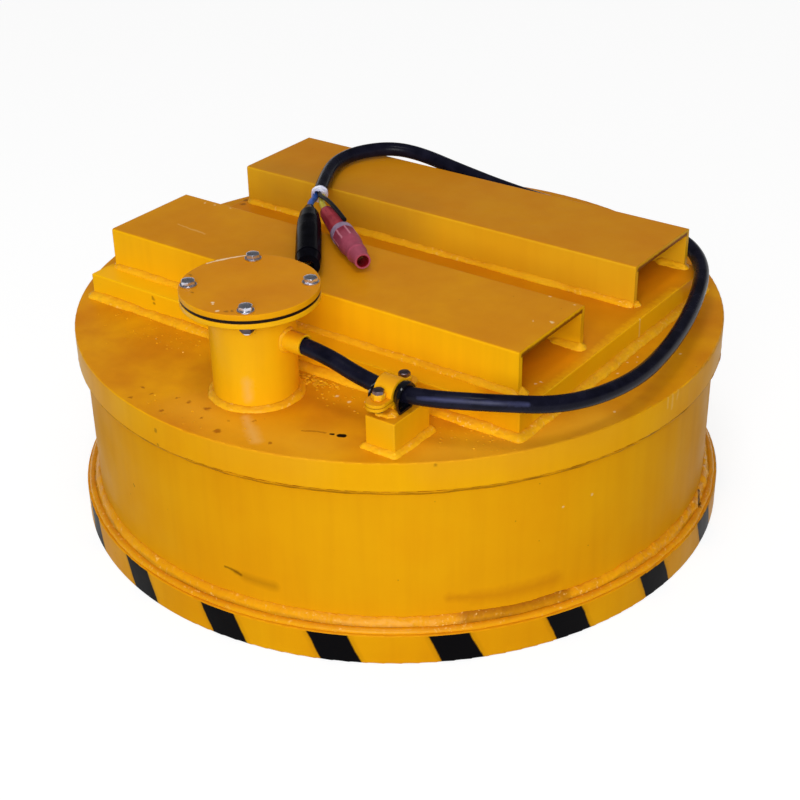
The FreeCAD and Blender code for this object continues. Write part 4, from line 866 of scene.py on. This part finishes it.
def disc_skin(centre, low, high, radius):
    """A washer or shank: a short round bar with broken edges."""
    edge = min(BROKEN_EDGE, (high - low) / 3)
    return grid([ring_of(centre, low, radius - edge), ring_of(centre, low + edge, radius),
                 ring_of(centre, high - edge, radius), ring_of(centre, high, radius - edge)])


dull_zinc = bare_steel("dull_zinc_plate", pale="#E6E8F4", dark="#B8BACC", roughness=0.3, grain_mm=5.0)
# Painted shade: the nuts under the flange get a darker, duller copy of the zinc.
shaded_zinc = bare_steel("shaded_zinc_plate", pale="#6A6266", dark="#443E44", roughness=0.5, grain_mm=3.0)
heads = []
washers = []
nuts = []
draw = random.Random(BOLT_SEED)
for number in range(COVER_BOLTS):
    turn = FIRST_BOLT + number * 2 * math.pi / COVER_BOLTS
    centre = box_centre + Vector((BOLT_CIRCLE * math.cos(turn), BOLT_CIRCLE * math.sin(turn), 0))
    spin = draw.uniform(0, math.pi / 3)
    heads.append(hex_skin(centre, washer_high.z, bolt_high.z - HEAD_DOME, HEAD_FLATS, spin, domed=HEAD_DOME))
    heads.append(disc_skin(centre, bolt_low.z, washer_high.z, SHANK_RADIUS))
    washers.append(disc_skin(centre, washer_low.z, washer_high.z, WASHER_RADIUS))
    nuts.append(hex_skin(centre, nut_low.z, nut_high.z, HEAD_FLATS, spin + NUT_TURN, chamfer_foot=True))
piece("forged_cover_bolts", heads, dull_zinc, "zinc_steel", "cover_bolts", crease=HEX_CREASE)
piece("flat_cover_washers", washers, dull_zinc, "zinc_steel", "cover_washers", crease=HEX_CREASE)
piece("zinc_cover_nuts", nuts, shaded_zinc, "zinc_steel", "cover_nuts", crease=HEX_CREASE)

# Cable clamp
# A block of square bar welded to the plate carries two straps bent from flat bar, bolted together round
# the cable over a rubber sleeve. The two bolts are black steel, gone brown, over nuts that are painted in.
BOLT_SPACING = 26 * MM
CLAMP_FLATS = 13 * MM
CLAMP_HEAD = 5.3 * MM
CLAMP_DOME = 0.6 * MM
CLAMP_SHANK = 4 * MM
CLAMP_HEAD_TURN = 0.3
CLAMP_HEAD_SPLAY = 0.2
CLAMP_NUT_TURN = 0.1
PAINTED_FLATS = 15 * MM
PAINTED_TURN = 0.5
SEAT_LEG = 5.5 * MM
SEAT_START = 4 * MM
SEAT_OVERRUN = 8 * MM
block_low, block_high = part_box("clamp_block")
strap_low, strap_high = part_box("clamp_upper_strap")
seat_low, seat_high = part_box("clamp_seat_welds")
clamp_middle = (strap_low + strap_high) / 2
clamp_bolt_low, clamp_bolt_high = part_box("clamp_bolts")
clamp_nut_low, clamp_nut_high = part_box("clamp_nuts")
spacer_low, spacer_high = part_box("clamp_spacers")

clamp_enamel = sprayed_enamel("clamp_enamel", roughness=0.3, gloss=0.11, fresh=CLEAN_YELLOW,
                              deep=FRESH_YELLOW)
finish_solids(clamp_enamel, "clamp_block", "clamp_lower_strap", "clamp_upper_strap")
block_seam = box_seam(block_low, block_high, plate_top)[0]
block_bead = weld_bead(block_seam, True, reach=7 * MM, rise=7 * MM, seed=11, lumps=0.3)
piece("hand_laid_block_weld", [block_bead], weld_enamel, "yellow_enamel", "clamp_block_weld")

seat_corner_low = Vector((block_low.x + SEAT_START, seat_low.y + SEAT_LEG, 0))
seat_corner_high = Vector((strap_high.x + SEAT_OVERRUN, seat_high.y - SEAT_LEG, 0))
seat_seams = box_seam(seat_corner_low, seat_corner_high, block_high.z, ends=False)
seat_beads = [weld_bead(seam, False, reach=17 * MM, rise=8 * MM, seed=12 + number, lumps=0.36, bulge=1.6)
              for number, seam in enumerate(seat_seams)]
piece("hand_laid_seat_welds", seat_beads, weld_enamel, "yellow_enamel", "clamp_seat_welds")

oxidised_steel = bare_steel("oxidised_black_steel", pale="#A49096", dark="#1C1214", roughness=0.36,
                            grain_mm=0.5)
clamp_heads = []
clamp_nuts = []
spacers = []
head_foot = clamp_bolt_high.z - CLAMP_HEAD
for side in (-1, 1):
    centre = Vector((clamp_middle.x, clamp_middle.y + side * BOLT_SPACING, 0))
    clamp_heads.append(hex_skin(centre, head_foot, clamp_bolt_high.z - CLAMP_DOME, CLAMP_FLATS,
                                CLAMP_HEAD_TURN + side * CLAMP_HEAD_SPLAY, domed=CLAMP_DOME))
    clamp_heads.append(disc_skin(centre, clamp_bolt_low.z, head_foot, CLAMP_SHANK))
    clamp_nuts.append(hex_skin(centre, clamp_nut_low.z, clamp_nut_high.z, CLAMP_FLATS, CLAMP_NUT_TURN,
                               chamfer_foot=True))
    spacers.append(hex_skin(centre, spacer_low.z, spacer_high.z, PAINTED_FLATS, PAINTED_TURN,
                            chamfer_foot=True))
piece("rusty_clamp_bolts", clamp_heads, oxidised_steel, "rusted_steel", "clamp_bolts", crease=HEX_CREASE)
piece("rusty_clamp_nuts", clamp_nuts, oxidised_steel, "rusted_steel", "clamp_nuts", crease=HEX_CREASE)
piece("painted_clamp_spacers", spacers, weld_enamel, "yellow_enamel", "clamp_spacers", crease=HEX_CREASE)

# Rubber sleeve in the clamp
# A short piece of black rubber hose, slit and wrapped round the cable under the straps. Past the clamp
# it closes on top of the cable, and its slit lower lip hangs open towards the front.
# Stations along a round piece are a distance along it and a radius in millimetres.
SLEEVE_TOP = [(-5, 13.6), (0, 14.2), (26, 14.2), (28, 16.2), (33, 16.4), (36, 14.8)]
FRONT_LIP = [(-5, 14.2), (26, 14.2), (29, 18), (33, 23), (36, 26.5)]
REAR_LIP = [(-5, 22), (-3, 20.5), (-1, 15.2), (0, 14.2), (36, 14.2)]
FRONT_LIP_DIRECTION = math.radians(-42)
FRONT_LIP_NARROWNESS = 2.5
REAR_LIP_DIRECTION = math.radians(-8)
REAR_LIP_NARROWNESS = 8
CRUMPLE_MM = 0.6
CRUMPLES = 5
SLEEVE_WALL = 3.2 * MM
REST_GAP = 1.2 * MM
SLEEVE_BEND = 0.0039 / MM
SLEEVE_SIDES = 48
CLAMPED = 26
sleeve_low, sleeve_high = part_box("clamp_sleeve")
sleeve_axis = Vector((sleeve_low.x, clamp_middle.y, (sleeve_low.z + sleeve_high.z) / 2))


def eased(stations, along):
    """The radius at a distance along a piece, eased from one station to the next, in millimetres."""
    for (start, first), (end, second) in zip(stations, stations[1:]):
        if along <= end:
            part = (along - start) / (end - start)
            return first + (second - first) * part * part * (3 - 2 * part)
    return stations[-1][1]


def lathe_row(origin, axis, along, radius, sides):
    """A row of points round an axis, with a distance along it and a radius that may depend on the angle."""
    across = axis.cross(UP).normalized()
    over = across.cross(axis)
    row = []
    for side in range(sides):
        turn = 2 * math.pi * side / sides
        outward = across * math.cos(turn) + over * math.sin(turn)
        row.append(origin + axis * size_at(along, turn) + outward * size_at(radius, turn))
    return row


def lip_share(turn, direction, narrowness):
    """How much of a lip there is at an angle round the sleeve."""
    return (0.5 + 0.5 * math.cos(turn - direction)) ** narrowness


def sleeve_skin():
    """The sleeve's outside and its bore, one closed skin that bends with the cable."""
    along_x = Vector((1, 0, 0))
    outside = []
    bore = []
    for step in range(SLEEVE_TOP[0][0], SLEEVE_TOP[-1][0] + 1):
        snug = eased(SLEEVE_TOP, step)
        front = eased(FRONT_LIP, step) - snug
        rear = max(0.0, eased(REAR_LIP, step) - snug) if step < 0 else 0.0
        past = max(0.0, sleeve_axis.x + step * MM - clamp_middle.x)
        origin = sleeve_axis + Vector((0, SLEEVE_BEND * past * past, 0))
        freed = max(0, step - CLAMPED) / (SLEEVE_TOP[-1][0] - CLAMPED)

        def outer(turn):
            front_share = lip_share(turn, FRONT_LIP_DIRECTION, FRONT_LIP_NARROWNESS)
            rear_share = lip_share(turn, REAR_LIP_DIRECTION, REAR_LIP_NARROWNESS)
            crumple = CRUMPLE_MM * freed * math.sin(CRUMPLES * turn + 1) * front_share
            free_radius = (snug + front * front_share + rear * rear_share + crumple) * MM
            resting = (sleeve_axis.z - block_high.z - REST_GAP) / max(0.01, -math.sin(turn))
            return min(free_radius, resting)

        def inner(turn):
            return outer(turn) - SLEEVE_WALL

        outside.append(lathe_row(origin, along_x, step * MM, outer, SLEEVE_SIDES))
        bore.append(lathe_row(origin, along_x, step * MM, inner, SLEEVE_SIDES))
    return grid(outside + bore[::-1], closed_rows=True)


glossy_rubber = rubber("glossy_black_rubber", pale="#14141B", dark="#0A0A0F", roughness=0.16, grain_mm=2.4,
                       bump=0.15, gloss=0.3)
piece("wrapped_rubber_sleeve", [sleeve_skin()], glossy_rubber, "black_rubber", "clamp_sleeve")

# Supply cable and its cores
# A round rubber sheathed cable with three cores. It leaves the stub, is held in the clamp, lies over the
# rim and the base plate, and comes up on the rear pocket, where its sheath ends under a white tie.
CABLE_ROUTE = [(58, -321, 372), (112, -321, 372), (189, -321, 350), (253, -321, 350), (338, -285, 353),
               (402, -224, 341), (429, -112, 329), (418, 10, 324), (392, 129, 328), (354, 232, 336),
               (286, 288, 342), (195, 290, 343), (100, 269, 351), (15, 256, 364), (-70, 254, 377),
               (-140, 257, 387), (-184, 242, 392.5), (-216, 202, 392.5), (-222, 152, 392), (-199, 95, 392),
               (-162, 33, 392)]
BLUE_ROUTE = [(-165.95, 30.64, 392), (-155.7, 13.47, 392), (-143.31, -13.74, 397.6), (-118.69, -45.26, 397.6)]
YELLOW_ROUTE = [(-158.05, 35.36, 392), (-147.8, 18.19, 392), (-120.1, -13.1, 396.7), (-87.9, -36.9, 396.7)]
SPARE_ROUTE = [(-161.85, 32.74, 398.1), (-151.6, 15.56, 398.1), (-100.48, -20.24, 412.96),
               (-42.6, -63.07, 412.96)]
CABLE_DIAMETER = 21 * MM
CORE_DIAMETER = 9 * MM
SPARE_DIAMETER = 6 * MM
# A painted highlight: a pale blue line along the top of the cable past the clamp.
HIGHLIGHT_BLUE = "#565A86"
HIGHLIGHT_STREAK = [(262, -327, 355), (301, -310, 356.6), (338, -290, 355.6), (372, -264, 352)]
HIGHLIGHT_WIDTH = 4 * MM


def in_metres(place):
    """A place that is given in millimetres."""
    return [coordinate * MM for coordinate in place]


def cord_line(name, route, diameter, material, node):
    """A cord along a smooth line with the route's points as its control points."""
    line = bpy.data.curves.new(name, "CURVE")
    line.dimensions = "3D"
    spline = line.splines.new("NURBS")
    spline.points.add(len(route) - 1)
    for point, place in zip(spline.points, route):
        point.co = in_metres(place) + [1.0]
    spline.order_u = 3
    spline.use_endpoint_u = True
    spline.resolution_u = 10
    line.bevel_depth = diameter / 2
    line.bevel_resolution = 9
    line.use_fill_caps = True
    line.materials.append(material)
    return seated(name, line, [node])


highlight_streak = stroked([in_metres(place) for place in HIGHLIGHT_STREAK], HIGHLIGHT_WIDTH)
cable_layers = [marks(highlight_streak, HIGHLIGHT_BLUE, 0.5, softness=1.0, ragged_mm=2)]
cable_rubber = rubber("extruded_cable_rubber", pale="#181828", dark="#0C0C18", roughness=0.24, grain_mm=3.0,
                      bump=0.1, layers=cable_layers, gloss=0.085)
blue_vinyl = rubber("blue_core_vinyl", pale="#3A66BE", dark="#2A4FA0", roughness=0.36, grain_mm=1.5,
                    bump=0.08)
yellow_vinyl = rubber("yellow_core_vinyl", pale="#E2D24A", dark="#CDB930", roughness=0.36, grain_mm=1.5,
                      bump=0.08)
black_vinyl = rubber("black_core_vinyl", pale="#1A1A1E", dark="#0E0E12", roughness=0.36, grain_mm=1.5,
                     bump=0.08, gloss=0.04)
cable = cord_line("supply_cable", CABLE_ROUTE, CABLE_DIAMETER, cable_rubber, "power_cable")
blue = cord_line("blue_cable_core", BLUE_ROUTE, CORE_DIAMETER, blue_vinyl, "blue_core")
yellow = cord_line("yellow_cable_core", YELLOW_ROUTE, CORE_DIAMETER, yellow_vinyl,
                   "yellow_core")
spare = cord_line("spare_cable_core", SPARE_ROUTE, SPARE_DIAMETER, black_vinyl,
                  "black_core")
finish_solids(black_vinyl, "inner_wires")

# Tie at the sheath's end
# A strip of white nylon tape pulled round the end of the sheath and knotted over the cores. Its turns
# stand out as lobes, and its end is drawn forward as a hood that closes round the cores.
TAPE_OUTSIDE = [(0, 11), (0.6, 11.6), (4.6, 11.9), (6.6, 11.7), (7.3, 11.6)]
TAPE_BORE = 10.8 * MM
TAPE_INSIDE = 10.4 * MM
TAPE_LIP = 3.3
TAPE_LOBES = [(math.radians(38), 0.9), (math.radians(142), 1.1), (math.radians(92), 0.8)]
LOBE_WIDTH = 0.3
TAPE_CREASES = 7
TAPE_CREASE_DEPTH = 0.3 * MM
TAPE_STEPS = 25
TAPE_SIDES = 72
TAPE_BACK = 3 * MM
HOOD_REACH = 10 * MM
HOOD_NARROWNESS = 1.5
HOOD_FRONT = [(0.0, 0.0), (0.5, 0.0), (1.0, 0.08), (1.0, 0.5), (1.0, 1.0)]
FACE_THICKNESS = 0.9 * MM
CORE_HOLES = [(-4.6, 0.3, 4.9), (4.6, 0.3, 4.9), (2.4, 7.3, 3.3)]
CORE_HOLE_LEAST = 0.8
sheath_end = Vector(CABLE_ROUTE[-1]) * MM
sheath_heading = (sheath_end - Vector(CABLE_ROUTE[-2]) * MM).normalized()
tape_start = sheath_end - sheath_heading * TAPE_BACK
tape_length, tape_end_radius = TAPE_OUTSIDE[-1]


def hood_front(turn):
    """How far along the hood's front edge lies, furthest over the top of the cores."""
    over = 0.5 + 0.5 * math.sin(turn)
    return tape_length * MM + FACE_THICKNESS + HOOD_REACH * over ** HOOD_NARROWNESS


def core_hole(turn):
    """The far edge of the hole for the cores, along a line from the tape's axis, within the tape's inside."""
    heading = Vector((math.cos(turn), math.sin(turn)))
    edge = CORE_HOLE_LEAST
    for across, over, radius in CORE_HOLES:
        place = Vector((across, over))
        middle = place.dot(heading)
        room = radius * radius - (place.length_squared - middle * middle)
        if room > 0:
            edge = max(edge, middle + math.sqrt(room))
    return min(edge * MM, TAPE_INSIDE)


def tape_row(along, radius):
    """A row of points round the sheath's end."""
    return lathe_row(tape_start, sheath_heading, along, radius, TAPE_SIDES)


def tape_skin():
    """The tape's lumpy outside, the hood and its end face, and the inside, one closed skin."""
    outside = []
    bore = []
    for step in range(TAPE_STEPS + 1):
        along = tape_length * step / TAPE_STEPS
        radius = eased(TAPE_OUTSIDE, along) * MM
        middle = math.sin(math.pi * along / tape_length)

        def outer(turn):
            lobes = sum(height * MM * math.exp(-((turn - place) / LOBE_WIDTH) ** 2)
                        for place, height in TAPE_LOBES)
            return radius + lobes * middle + TAPE_CREASE_DEPTH * math.sin(TAPE_CREASES * turn + 2 * along)

        outside.append(tape_row(along * MM, outer))
        bore.append(tape_row(along * MM, TAPE_BORE if along < TAPE_LIP else TAPE_INSIDE))
    for share, closed in HOOD_FRONT:
        def hood_along(turn):
            drawn_forward = share * (hood_front(turn) - FACE_THICKNESS)
            return FACE_THICKNESS + tape_length * MM * (1 - share) + drawn_forward

        def hood_radius(turn):
            return tape_end_radius * MM * (1 - closed) + closed * core_hole(turn)

        outside.append(tape_row(hood_along, hood_radius))
    for closed in (1.0, 0.0):
        outside.append(tape_row(lambda turn: hood_front(turn) - FACE_THICKNESS,
                                lambda turn: TAPE_INSIDE * (1 - closed) + closed * core_hole(turn)))
    return grid(outside + bore[::-1], closed_rows=True)


nylon = rubber("white_nylon", pale="#F0F0FC", dark="#C6CAEE", roughness=0.45, grain_mm=1.2, bump=0.2)
tape = piece("knotted_tape", [tape_skin()], nylon, "white_plastic", "cable_tie")

# Connectors
# Two single pole connectors moulded in rubber, one black and one red, with a brass contact deep in the
# nose. The red one has a dark boot, a grey ring, and a body with lengthwise flats, worn pink at the nose.
WORN_PINK = "#BC6076"
EDGE_HIGHLIGHT_PINK = "#D48A9C"
BORE_SHADE_RED = "#7A0E18"
RED_TAIL = Vector((-104, -25, 396.7)) * MM
RED_HEADING = math.radians(-36.5)
RED_AXIS = Vector((math.cos(RED_HEADING), math.sin(RED_HEADING), 0))
RED_BOOT = [(0, 9.1), (1, 9.9), (11.7, 11.3), (40, 12.7), (76, 14.4), (78, 14.2)]
RED_BODY = (91, 118)
RED_GIRTH = 16.5 * MM
RED_FLATS = 8
RED_NOSE = (118, 176)
NOSE_REACH = 26 * MM
EDGE_WIDTH = 1.8 * MM
BORE_REACH = 9 * MM
BOOT_RIBS = 9
BOOT_RIB_SHARE = 0.03
RIBS_RISE = 8
RIBS_FALL = 6
SKIN_DEPTH = 1.4 * MM
PLUG_SIDES = 72


def red_row(along_mm, radius, sides=PLUG_SIDES):
    """A row of points round the red connector."""
    return lathe_row(RED_TAIL, RED_AXIS, along_mm * MM, radius, sides)


def boot_skin():
    """A thin dark skin over the red connector's boot, ribbed along its length."""
    boot_length = RED_BOOT[-1][0]
    outside = []
    inside = []
    for step in range(2 * boot_length + 1):
        along = step / 2
        radius = eased(RED_BOOT, along) * MM
        fade = min(1.0, along / RIBS_RISE, (boot_length - along) / RIBS_FALL)

        def ribbed(turn):
            return radius * (1 + BOOT_RIB_SHARE * fade * math.cos(BOOT_RIBS * turn))

        outside.append(red_row(along, ribbed))
        inside.append(red_row(along, radius - SKIN_DEPTH))
    return grid(outside + inside[::-1], closed_rows=True)


nose_start, nose_end = (RED_TAIL + RED_AXIS * (along * MM) for along in RED_NOSE)
body_edges = zip(*(red_row(along, RED_GIRTH, RED_FLATS) for along in RED_BODY))
red_layers = [
    marks(stroked([nose_start, nose_end], NOSE_REACH), WORN_PINK, 0.6, softness=0.7, ragged_mm=9),
    # Painted highlights: paler pink lines along the edges of the body's flats.
    marks([(start, end, EDGE_WIDTH) for start, end in body_edges], EDGE_HIGHLIGHT_PINK, 0.6, ragged_mm=2),
    # Painted shade: the bore inside the nose is dark red.
    marks(stroked([nose_start, nose_end + RED_AXIS * BORE_REACH], BORE_REACH), BORE_SHADE_RED, 1.0, softness=0.1,
          ragged_mm=0),
]
red_rubber = rubber("worn_red_rubber", pale="#983A4E", dark="#7C2438", roughness=0.5, grain_mm=2.6,
                    layers=red_layers, gloss=0.1)
boot_rubber = rubber("dark_red_rubber", pale="#B03C48", dark="#8A2430", roughness=0.42, grain_mm=2.2,
                     gloss=0.12)
black_moulding = rubber("moulded_black_rubber", pale="#0C0C14", dark="#06060A", roughness=0.2, grain_mm=2.0,
                        bump=0.15, gloss=0.012)
grey_ring = rubber("grey_moulded_ring", pale="#A890A6", dark="#86708A", roughness=0.5, grain_mm=2.0)
finish_solids(red_rubber, "red_connector")
finish_solids(black_moulding, "black_connector")
finish_solids(grey_ring, "red_connector_band")
finish_solids(drawn_brass, "red_contact", "black_contact")
red_boot = piece("red_connector_boot", [boot_skin()], boot_rubber, "red_rubber", crease=60)

# Weld spatter
# Drops of steel thrown off by the welding, frozen on the top plate and painted over. They lie thickest
# beside the junction box, and thinner in front of the base plate's weld and at the plate's front.
# A field of spatter has a middle, a width, a number of drops and their usual radius, in millimetres.
SPATTER_FIELDS = [((56, -266), 26, 90, 2.0), ((78, -262), 30, 30, 1.6), ((112, -284), 50, 12, 1.3),
                  ((150, -268), 60, 14, 1.1), ((-150, -280), 90, 34, 1.1), ((-230, -268), 90, 30, 1.1),
                  ((260, -290), 60, 26, 1.2), ((330, -255), 50, 22, 1.2), ((-20, -420), 110, 30, 1.0)]
SPATTER_SEED = 11
DROP_ROWS = (0.0, 0.35, 0.65, 0.9)
DROP_SINK = 0.15
DROP_SIDES = 8
CLEAR_OF_BASE = 10 * MM
CLEAR_OF_RIM = 6 * MM
CLEAR_OF_TUBE = 8 * MM


def spatter_drop(centre, radius, flatness):
    """A frozen drop: a low dome with a round foot."""
    rows = []
    for share in DROP_ROWS:
        lift = math.sin(share * math.pi / 2)
        girth = math.cos(share * math.pi / 2)
        height = centre.z + radius * flatness * (lift - DROP_SINK)
        rows.append(ring_of(centre, height, radius * girth, DROP_SIDES))
    return grid(rows)


drops = []
draw = random.Random(SPATTER_SEED)
for (middle_x, middle_y), spread, count, size in SPATTER_FIELDS:
    for number in range(count):
        place = Vector((draw.gauss(middle_x, spread / 2), draw.gauss(middle_y, spread / 4), 0)) * MM
        radius = size * draw.uniform(0.5, 1.5) * MM
        if place.y > base_low.y - CLEAR_OF_BASE or place.length > plate_radius - CLEAR_OF_RIM:
            continue
        if (place - Vector((box_centre.x, box_centre.y, 0))).length < tube_radius + CLEAR_OF_TUBE:
            continue
        place.z = plate_top
        drops.append(spatter_drop(place, radius, draw.uniform(0.5, 0.9)))
piece("weld_spatter", drops, weld_enamel, "yellow_enamel")

# Studio
# A pale floor that keeps the magnet's shadow, white all round for the eye, a large soft lamp low at
# the front, a small one overhead for the sparkle on beads and edges, and a weak light from all round.
WHITE = "#FFFFFF"
FLOOR_SIZE = 14.0
FLOOR_GREY = "#8E8E8E"
FLOOR_GLOW = 0.8
HORIZON_LIGHT = 0.66
CEILING_LIGHT = 0.6
CEILING_RISE = 0.7
SIDE_SHARE = 0.25
SIDE_START = 0.3
DARK_CEILING = 0.1
DARK_RISE = 0.22
# A lamp has a place, a target and a size in metres, and a power in watts.
LAMPS = [("key", (1.7, -3.0, 1.7), (0, 0, 0.25), 1.9, 74),
         ("roof", (0.4, -1.0, 3.4), (0, -0.1, 0.3), 0.7, 16)]
CAMERA_LENS = 69.62
CAMERA_SENSOR = 36.0
CAMERA_AZIMUTH = math.radians(36.13)
CAMERA_ELEVATION = math.radians(29.48)
CAMERA_ROLL = math.radians(-1.05)
CAMERA_DISTANCE = 2220.79 * MM
CAMERA_AIM = Vector((20.114, -29.542, 136.801)) * MM


def seen_by_eye(tree):
    """1 for rays from the camera and for those that metal mirrors or glass passes on, and 0 for others."""
    rays = add_node(tree, "LightPath").node.outputs
    passed_on = add_node(tree, "Math", [rays["Is Glossy Ray"], rays["Is Transmission Ray"]],
                         operation="MAXIMUM")
    return add_node(tree, "Math", [rays["Is Camera Ray"], passed_on], operation="MAXIMUM")


floor_mesh = bpy.data.meshes.new("floor")
half = FLOOR_SIZE / 2
floor_corners = [(-half, -half, 0), (half, -half, 0), (half, half, 0), (-half, half, 0)]
floor_mesh.from_pydata(floor_corners, [], [(0, 1, 2, 3)])
floor = bpy.data.objects.new("floor", floor_mesh)
bpy.context.scene.collection.objects.link(floor)
paper, paper_tree, paper_shader = new_material("matt_white_paper")
glow = add_node(paper_tree, "Math", [seen_by_eye(paper_tree), FLOOR_GLOW], operation="MULTIPLY")
fill_inputs(paper_shader, {"Base Color": linear(FLOOR_GREY), "Roughness": 0.9, "Specular IOR Level": 0.1,
                           "Emission Color": linear(WHITE), "Emission Strength": glow})
floor_mesh.materials.append(paper)

world = bpy.data.worlds.new("studio")
bpy.context.scene.world = world
world.use_nodes = True
sky = world.node_tree
level = Vector((math.cos(CAMERA_AZIMUTH), math.sin(CAMERA_AZIMUTH), 0))
direction = add_node(sky, "TexCoord", output="Generated")
rising = add_node(sky, "SeparateXYZ", [direction], "Z")
soft_light = add_node(sky, "MapRange", [rising, 0.0, CEILING_RISE, HORIZON_LIGHT, CEILING_LIGHT])
backdrop = add_node(sky, "MapRange", [rising, 0.0, DARK_RISE, 1.0, DARK_CEILING])
sidelong = add_node(sky, "VectorMath", [direction, level], "Value", operation="DOT_PRODUCT")
aside = add_node(sky, "Math", [sidelong], operation="ABSOLUTE")
dimmed = add_node(sky, "MapRange", [aside, SIDE_START, 1.0, 1.0, SIDE_SHARE])
room_light = add_node(sky, "Math", [soft_light, dimmed], operation="MULTIPLY")
strength = add_node(sky, "MapRange", {0: seen_by_eye(sky), 3: room_light, 4: backdrop})
fill_inputs(sky.nodes["Background"], {"Color": linear(WHITE), "Strength": strength})

for lamp_name, place, target, size, power in LAMPS:
    lamp = bpy.data.lights.new(lamp_name, "AREA")
    lamp.size = size
    lamp.energy = power
    lamp_object = bpy.data.objects.new(lamp_name, lamp)
    lamp_object.location = place
    lamp_object.rotation_euler = (Vector(target) - Vector(place)).to_track_quat("-Z", "Y").to_euler()
    bpy.context.scene.collection.objects.link(lamp_object)

back = Vector((math.sin(CAMERA_AZIMUTH) * math.cos(CAMERA_ELEVATION),
               -math.cos(CAMERA_AZIMUTH) * math.cos(CAMERA_ELEVATION), math.sin(CAMERA_ELEVATION)))
overhead = back.cross(level)
right = level * math.cos(CAMERA_ROLL) + overhead * math.sin(CAMERA_ROLL)
upright = overhead * math.cos(CAMERA_ROLL) - level * math.sin(CAMERA_ROLL)
lens = bpy.data.cameras.new("camera")
lens.lens = CAMERA_LENS
lens.sensor_width = CAMERA_SENSOR
camera = bpy.data.objects.new("camera", lens)
camera.matrix_world = (Matrix.Translation(CAMERA_AIM + back * CAMERA_DISTANCE)
                       @ Matrix((right, upright, back)).transposed().to_4x4())
bpy.context.scene.collection.objects.link(camera)
bpy.context.scene.camera = camera
bpy.context.scene.view_settings.view_transform = "Standard"
